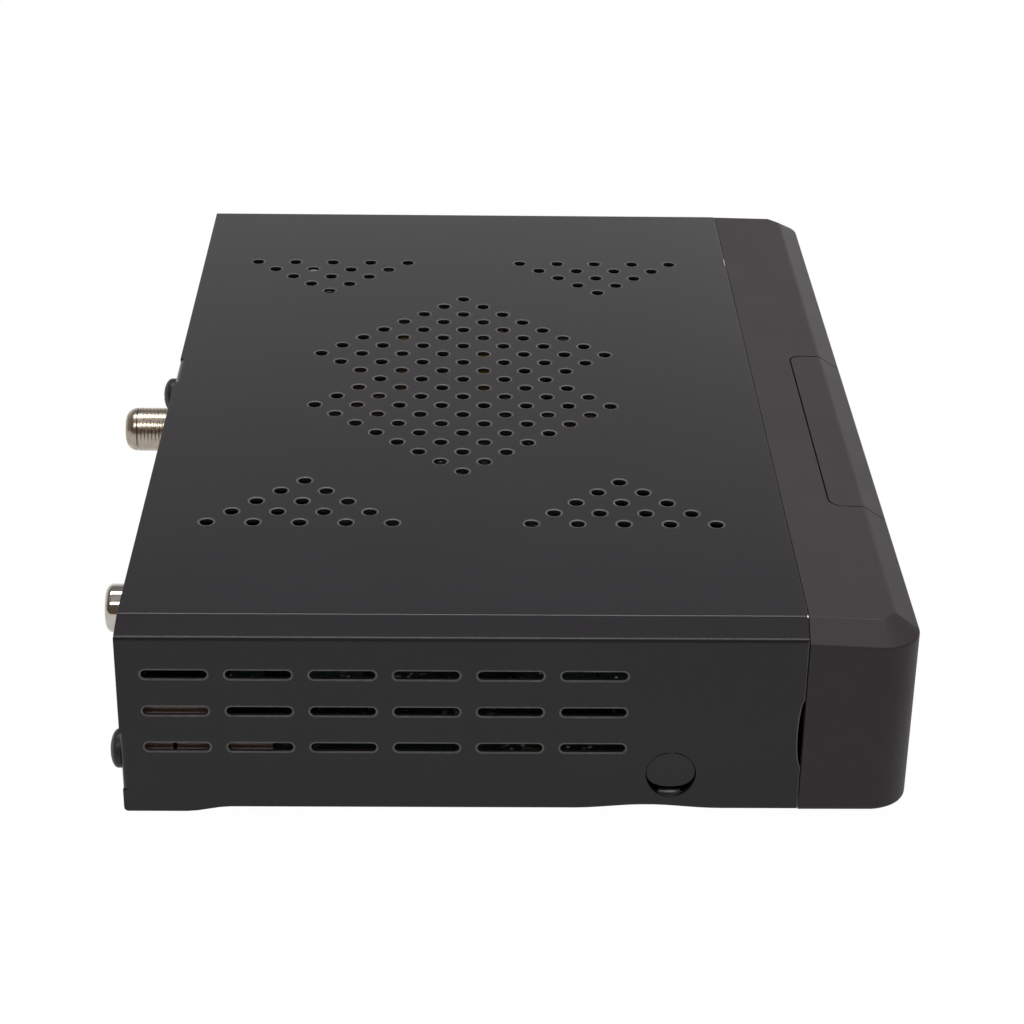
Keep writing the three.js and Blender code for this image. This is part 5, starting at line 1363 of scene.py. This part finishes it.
def power_rows(parts):
    """Lying resistors, standing cans and two kinds of boxes, in turn."""
    rows = []
    for i, (x, y, width, depth) in enumerate(parts):
        kind, r, half = i % 4, min(width, depth) / 2, max(width, depth) / 2
        if kind == 0:
            z = BOARD_TOP + r + 0.3
            axis, centre, along = ("x", (y, z), x) if width > depth else ("y", (x, z), y)
            profile = [(0, -half), (r * 0.8, -half), (r, 0.5 - half)]
            profile += [(r, half - 0.5), (r * 0.8, half), (0, half)]
            rows.append((lathe, moved(profile, along), axis, centre, 20))
        elif kind == 1:
            rows.append((rod, r, BOARD_TOP, BOARD_TOP + 8, "z", (x, y), 24, 1))
        else:
            rows.append((box, middle(x, width), middle(y, depth), (BOARD_TOP, BOARD_TOP + 3 + i % 5), kind))
    return rows


def make_small_parts():
    """Small parts scattered over both boards."""
    tiny = scatter(11, 260, "main_board", MAIN_BLOCKED, ((1.6, 0.8), (2.0, 1.25), (3.2, 1.6)))
    looks = ["chip", "capacitor", "tin"]
    make("main_board_small_parts", looks, chip_rows(tiny), rounding=0)
    used = MAIN_BLOCKED + [ground(*part) for part in tiny]
    chips = scatter(5, 12, "main_board", used, ((5, 4), (6, 5), (3, 3)))
    rows = package_rows(chips)
    make("main_board_packages", ["chip", "tin"], rows, rounding=0.06, segments=1)
    used += [ground(*part) for part in chips]
    cans = scatter(8, 12, "main_board", used, ((5, 5), (6.3, 6.3), (4, 4)))
    make("main_board_cans", ["can"], can_rows(cans), rounding=0.08)
    parts = scatter(21, 34, "power_board", POWER_BLOCKED, ((7, 2.5), (5, 3), (4, 4), (9, 3.5), (3, 2)))
    looks = ["capacitor", "sleeve", "tape", "chip"]
    make("power_board_parts", looks, power_rows(parts), rounding=0.1)


def make_processor():
    """The processor, its finned sink and the memory."""
    x, y = PROCESSOR
    rows = [
        (box, middle(x, 23), middle(y, 23), (ON_BOARD, ON_BOARD + 0.9), 1),
        (box, middle(x, 20), middle(y, 20), (ON_BOARD + 0.9, ON_BOARD + 2)),
    ]
    make("processor_package", ["chip", "green"], rows, ["processor"], rounding=0.1)
    base = ON_BOARD + 2.3
    rows = [(box, middle(x, 28), middle(y, 28), (base, base + 2))]
    for i in range(7):
        fin, foot, top = x + (i - 3) * 4.467, base + 1.9, base + 10
        outline = [(fin - 0.6, foot), (fin + 0.6, foot), (fin + 0.42, top), (fin - 0.42, top)]
        rows.append((prism, outline, "y", y - 14, y + 14))
    make("finned_sink", ["aluminium"], rows, ["heat_sink"], rounding=0.12)
    x, y = MEMORY
    rows = [(box, middle(x, 8.6), middle(y, 18), (ON_BOARD + 0.1, ON_BOARD + 1.2))]
    for i in range(27):
        rows.append((box, middle(x, 10), middle(y + (i - 13) * 0.65, 0.28), (ON_BOARD, ON_BOARD + 0.3), 1))
    make("memory_package", ["chip", "tin"], rows, ["memory_chip"], rounding=0.06, segments=1)


def make_tuner():
    """The tuner in its shield, whose lid has dimples."""
    top = ON_BOARD + ROOM * 0.615
    rows = [(box, *TUNER, (ON_BOARD, top - 0.5)), (box, *TUNER, (top - 0.4, top))]
    x, y = TUNER[0][0], TUNER[1][0]
    for i in range(4):
        rows.append((box, middle(x + 6 + i * 8, 3), TUNER[1], (top - 0.45, top - 0.35)))
    obj = solid("tuner_shield", ["tin"], rows)
    bevel(obj, 0.12)
    spots = [(x + 8 + i * 10, y + 8 + j * 11) for i in range(3) for j in range(2)]
    boolean(obj, [(prism, ring(spot, 1.2, 16), "z", top - 0.25, top + 1) for spot in spots])
    finish(obj, ["tuner_can"])


def make_reader():
    """The card reader with pockets in its top and contacts in them."""
    top = ON_BOARD + 6
    obj = solid("card_bay", ["black"], [(box, (-51.6, 6.4), (-68.5, -20.5), (ON_BOARD, top))])
    boolean(obj, [(box, CARD_X, (-70, -28.5), CARD_SLOT)])
    boolean(obj, [(box, middle(-41 + i * 18, 13), (-60, -34), (top - 1.0, top + 1)) for i in range(3)])
    bevel(obj, 0.15)
    finish(obj, ["card_reader"])
    rows = []
    for i in range(4):
        for j in range(2):
            pad = rounded(middle(-28 + i * 2.54, 1.5), middle(-50 + j * 8, 5), 0.3)
            rows.append((prism, pad, "z", top - 1.05, top - 0.8))
    make("card_contacts", ["nickel"], rows, rounding=0.05)


def make_transformer():
    """The transformer: core, taped coil and foot."""
    x, y, top = 64, 3.98, ON_BOARD + ROOM * 0.583
    rows = [
        (box, middle(x, 24), middle(y, 14), (ON_BOARD, top), 1),
        (prism, rounded(middle(x, 18), middle(y, 26), 3.5, 6), "z", ON_BOARD + 3, top - 3),
        (prism, rounded(middle(x, 19), middle(y, 26), 3.5, 6), "z", ON_BOARD, ON_BOARD + 2.5, 2),
    ]
    looks = ["tape", "chip", "black"]
    make("transformer_block", looks, rows, ["transformer"], rounding=0.3)


def make_cans():
    """The three large capacitors with bare tops."""
    for name, spot, r, top in (
        ("bulk_capacitor", (84.01, -22.02), 8, ON_BOARD + ROOM * 0.809),
        ("output_capacitor_1", (59.99, -38.04), 5, ON_BOARD + ROOM * 0.518),
        ("output_capacitor_2", (59.99, -24), 5, ON_BOARD + ROOM * 0.518),
    ):
        profile = moved([(0, 0), (r, 0), (r, 1.6), (r - 0.6, 2.2), (r - 0.6, 2.6), (r, 3.2)], ON_BOARD)
        profile += moved([(r, -0.6), (r - 0.6, 0), (r - 1.0, -0.15), (r - 1.2, -0.35), (0, -0.35)], top)
        make(name + "_can", ["sleeve"], [(lathe, profile, "z", spot, 48)], [name], rounding=0)
        cap = (prism, ring(spot, r - 1.1, 40), "z", top - 0.6, top - 0.2)
        make(name + "_top", ["aluminium"], [cap], rounding=0.05)


def make_power_sink():
    """The bent sink of the power board, with its switch."""
    x, y = 84.01, 24.05
    across, along = middle(x, 22), middle(x, 10)
    rows = [
        (box, across, middle(y, 1.5), (ON_BOARD, ON_BOARD + ROOM * 0.777)),
        (box, across, (y - 0.75, y + 7), (ON_BOARD, ON_BOARD + 1.5)),
    ]
    make("power_sink_plate", ["aluminium"], rows, ["power_heat_sink"], rounding=0.2)
    rows = [
        (box, along, (y - 5.4, y - 0.8), (ON_BOARD + 4, ON_BOARD + 13)),
        (box, along, (y - 2.1, y - 0.8), (ON_BOARD + 13, ON_BOARD + 19), 1),
    ]
    make("power_switch", ["chip", "tin"], rows, rounding=0.2)


def make_mains_parts():
    """The mains filter's coil, a disc beside it, two cans and two film capacitors."""
    centre, low = (92.8, ON_BOARD + 9.5), BOARD_TOP
    wound = [(5.2 + 0.25 * math.sin(PI * i / 2), 42.0 + i * 0.43) for i in range(17)]
    rows = [(lathe, [(0, 41.3)] + wound + [(0, 49.4)], "y", centre, 36, 1)]
    for ends in ((40.4, 41.8), (49.0, 50.6)):
        rows.append((prism, ring(centre, 7.2, 36), "y", *ends))
        rows.append((box, middle(centre[0], 8), ends, (low, ON_BOARD + 5)))
    make("mains_filter", ["black", "dark_brown"], rows, rounding=0.15)
    disc = [(0, 79.2), (4.4, 79.2), (5, 79.7), (5, 80.5), (4.4, 81), (0, 81)]
    rows = [(lathe, disc, "x", (39, ON_BOARD + 8.1), 32)]
    rows += [(prism, ring((80.1, y), 0.35, 10), "z", low, ON_BOARD + 5.5, 1) for y in (36.5, 41.5)]
    make("mains_disc", ["white", "tin"], rows, rounding=0.1)
    rows = []
    for x, y, top in ((89.1, 33.6, 23.1), (95.8, 37.4, 25.8)):
        can = [(0, low), (2.55, low), (2.7, low + 0.4), (2.7, top - 0.5), (2.5, top - 0.2), (0, top - 0.2)]
        cap = [(0, top - 0.4), (2.3, top - 0.4), (2.3, top - 0.1), (2.2, top), (0, top)]
        rows += [(lathe, can, "z", (x, y), 32), (lathe, cap, "z", (x, y), 32, 1)]
    make("mains_cans", ["sleeve", "chrome"], rows, rounding=0)
    rows = [
        (box, (88, 97), (-12, 0), (low, ON_BOARD + 15)),
        (box, (90, 97), (15, 23.1), (low, ON_BOARD + 19.2)),
    ]
    make("film_capacitors", ["chip"], rows, rounding=0.4)


def make_cards():
    """Brown insulating cards behind the slots, each held by a foot below a board screw."""
    low, foot = BOARD_TOP, (BOARD_TOP, ON_BOARD - 0.02)
    outline = [(34.5, low + 0.6), (51.8, low + 0.6), (51.8, 13.4), (52.5, 13.4), (52.5, low), (59.6, low)]
    outline += [(59.6, 22.4), (44.3, 22.4), (44.3, 13.2), (34.5, 13.2)]
    rows = [(prism, outline, "x", -100.95, -100.5), (box, (-100.6, -90.2), (52.6, 56.4), foot)]
    make("insulating_card", ["pressboard"], rows, rounding=0.08)
    rows = [(box, (100.3, 100.75), (-54, 57), (low, 24.8)), (box, (90.2, 100.5), (-46.9, -43.1), foot)]
    make("mains_card", ["pressboard"], rows, rounding=0.08)


def make_cable():
    """A ribbon of eleven wires, down from the front board and onto the main board."""
    back, low, end, thick = BEHIND_BOARD, ON_BOARD, -51.0, 0.7
    bend = (BOARDS["main_board"][1][0] - back) / 2
    centre = (back + bend, low + bend)
    outline = [(back, low + 9.5)] + arc(centre, bend, 180, 270, 12) + [(end, low), (end, low + thick)]
    outline += arc(centre, bend - thick, 270, 180, 12) + [(back + thick, low + 9.5)]
    starts = [13.3 + i * 1.275 for i in range(11)]
    rows = [(prism, outline, "x", x, x + 1.22) for x in starts]
    make("ribbon_cable", ["cable"], rows, ["link_cable"], rounding=0.25)


# ---- Stage ----

WHITE = (1, 1, 1)
SENSOR = 36
FOCAL_LENGTH = 2527.66  # in pixels of a picture that is PICTURE wide
PICTURE = 1024
CAMERA_PLACE = Vector((-489.0, 3.65, 264.5))
CAMERA_TURN = (-27.459, 0.878, -1.215)  # pitch, roll and yaw in degrees
# Ramps of the studio's light by height: from the side behind the object, and from the camera's side
BEHIND = (
    (0.18, (1.0, 1.0, 1.0)),
    (0.4, (0.5, 0.475, 0.475)),
    (0.53, (0.27, 0.255, 0.265)),
    (0.9, (0.3, 0.3, 0.31)),
)
BEFORE = (
    (0.0, (0.35, 0.29, 0.25)),
    (0.03, (0.17, 0.12, 0.085)),
    (0.6, (0.17, 0.12, 0.085)),
    (0.82, (0.28, 0.27, 0.27)),
    (0.96, (0.66, 0.6, 0.62)),
)


def make_camera():
    """The camera that the photo was taken with, as solved from the vents and slots."""
    camera = bpy.data.objects.new("camera", bpy.data.cameras.new("camera"))
    bpy.context.scene.collection.objects.link(camera)
    camera.data.sensor_width = SENSOR
    camera.data.lens = SENSOR * FOCAL_LENGTH / PICTURE
    camera.data.clip_start = 0.01
    camera.data.clip_end = 20
    camera.location = CAMERA_PLACE * MM
    pitch, roll, yaw = (math.radians(v) for v in CAMERA_TURN)
    forward = Vector((math.cos(pitch) * math.cos(yaw), math.cos(pitch) * math.sin(yaw), math.sin(pitch)))
    level = forward.cross(Vector((0, 0, 1))).normalized()
    upright = level.cross(forward)
    right = level * math.cos(roll) + upright * math.sin(roll)
    up = -level * math.sin(roll) + upright * math.cos(roll)
    camera.rotation_mode = "QUATERNION"
    camera.rotation_quaternion = Matrix((right, up, -forward)).transposed().to_quaternion()
    bpy.context.scene.camera = camera


def seen_directly(tree):
    """1 for camera, glossy and transmission rays."""
    path = node(tree, "ShaderNodeLightPath").outputs
    seen = combine(tree, "MAXIMUM", path["Is Camera Ray"], path["Is Glossy Ray"])
    return combine(tree, "MAXIMUM", seen, path["Is Transmission Ray"])


def make_world():
    """A studio that is white at the horizon, pale behind the object and dim on the camera's side."""
    world = bpy.data.worlds.new("studio")
    bpy.context.scene.world = world
    world.use_nodes = True
    tree = world.node_tree
    way = node(tree, "ShaderNodeTexCoord").outputs["Generated"]
    parts = node(tree, "ShaderNodeSeparateXYZ", {0: way}).outputs
    behind, before = (ramp(tree, parts["Z"], pairs) for pairs in (BEHIND, BEFORE))
    inputs = {"Value": parts["X"], "From Min": -0.3, "From Max": 0.3}
    side = node(tree, "ShaderNodeMapRange", inputs).outputs[0]
    seen = node(tree, "ShaderNodeLightPath").outputs["Is Camera Ray"]
    shade = mix(tree, seen, mix(tree, side, before, behind), colour(WHITE))
    inputs = {"Value": seen_directly(tree), "To Min": 0.7, "To Max": 1.0}
    strength = node(tree, "ShaderNodeMapRange", inputs).outputs[0]
    background = tree.nodes["Background"].inputs
    tree.links.new(shade, background["Color"])
    tree.links.new(strength, background["Strength"])


def make_floor():
    """A floor that is white where it is seen and pale in the light that it gives back."""
    bm = bmesh.new()
    bm.faces.new([bm.verts.new((x, y, 0)) for x, y in ring((0, 0), 6.0, 64)])
    material = bpy.data.materials.new("pale_floor")
    material.use_nodes = True
    tree = material.node_tree
    tree.nodes.remove(tree.nodes["Principled BSDF"])
    matte = node(tree, "ShaderNodeBsdfDiffuse", {"Color": colour((0.82, 0.82, 0.82))}).outputs[0]
    glow = node(tree, "ShaderNodeEmission", {"Color": colour(WHITE), "Strength": 1.0}).outputs[0]
    share = combine(tree, "MULTIPLY", seen_directly(tree), 0.985)
    mixed = node(tree, "ShaderNodeMixShader", {"Fac": share, 1: matte, 2: glow}).outputs[0]
    tree.links.new(mixed, tree.nodes["Material Output"].inputs["Surface"])
    add_object("floor", bm, [material])


def lamp(name, spot, target, size, power):
    """A soft lamp that faces a target, with places in metres."""
    data = bpy.data.lights.new(name, "AREA")
    data.shape = "RECTANGLE"
    data.size, data.size_y = size
    data.energy = power
    obj = bpy.data.objects.new(name, data)
    bpy.context.scene.collection.objects.link(obj)
    obj.location = spot
    obj.rotation_mode = "QUATERNION"
    obj.rotation_quaternion = (Vector(target) - Vector(spot)).to_track_quat("-Z", "Y")


bpy.context.scene.view_settings.view_transform = "Standard"
make_camera()
make_world()
make_floor()
lamp("softbox_near", (-0.79, 0, 0.94), (0, 0, 0.02), (1.3, 0.2), 8.8)
lamp("softbox_front", (1.15, -0.42, 0.12), (0, -0.07, 0.03), (0.5, 0.3), 0.6)
lamp("softbox_far", (0.26, 0, 1.2), (0, 0, 0.02), (1.3, 0.26), 14)
make_cover()
make_rear_panel()
make_pan()
make_feet()
make_screws()
make_antenna_connector()
make_coax_jack()
make_socket("video_socket", "hdmi_socket", HDMI, 1.6, 10)
make_socket("data_socket", "usb_socket", USB, 0.01, 4)
make_av_jack()
make_inlet()
make_fascia()
make_door()
make_buttons()
make_display()
make_switches()
make_boards()
make_small_parts()
make_processor()
make_tuner()
make_reader()
make_transformer()
make_cans()
make_power_sink()
make_mains_parts()
make_cards()
make_cable()
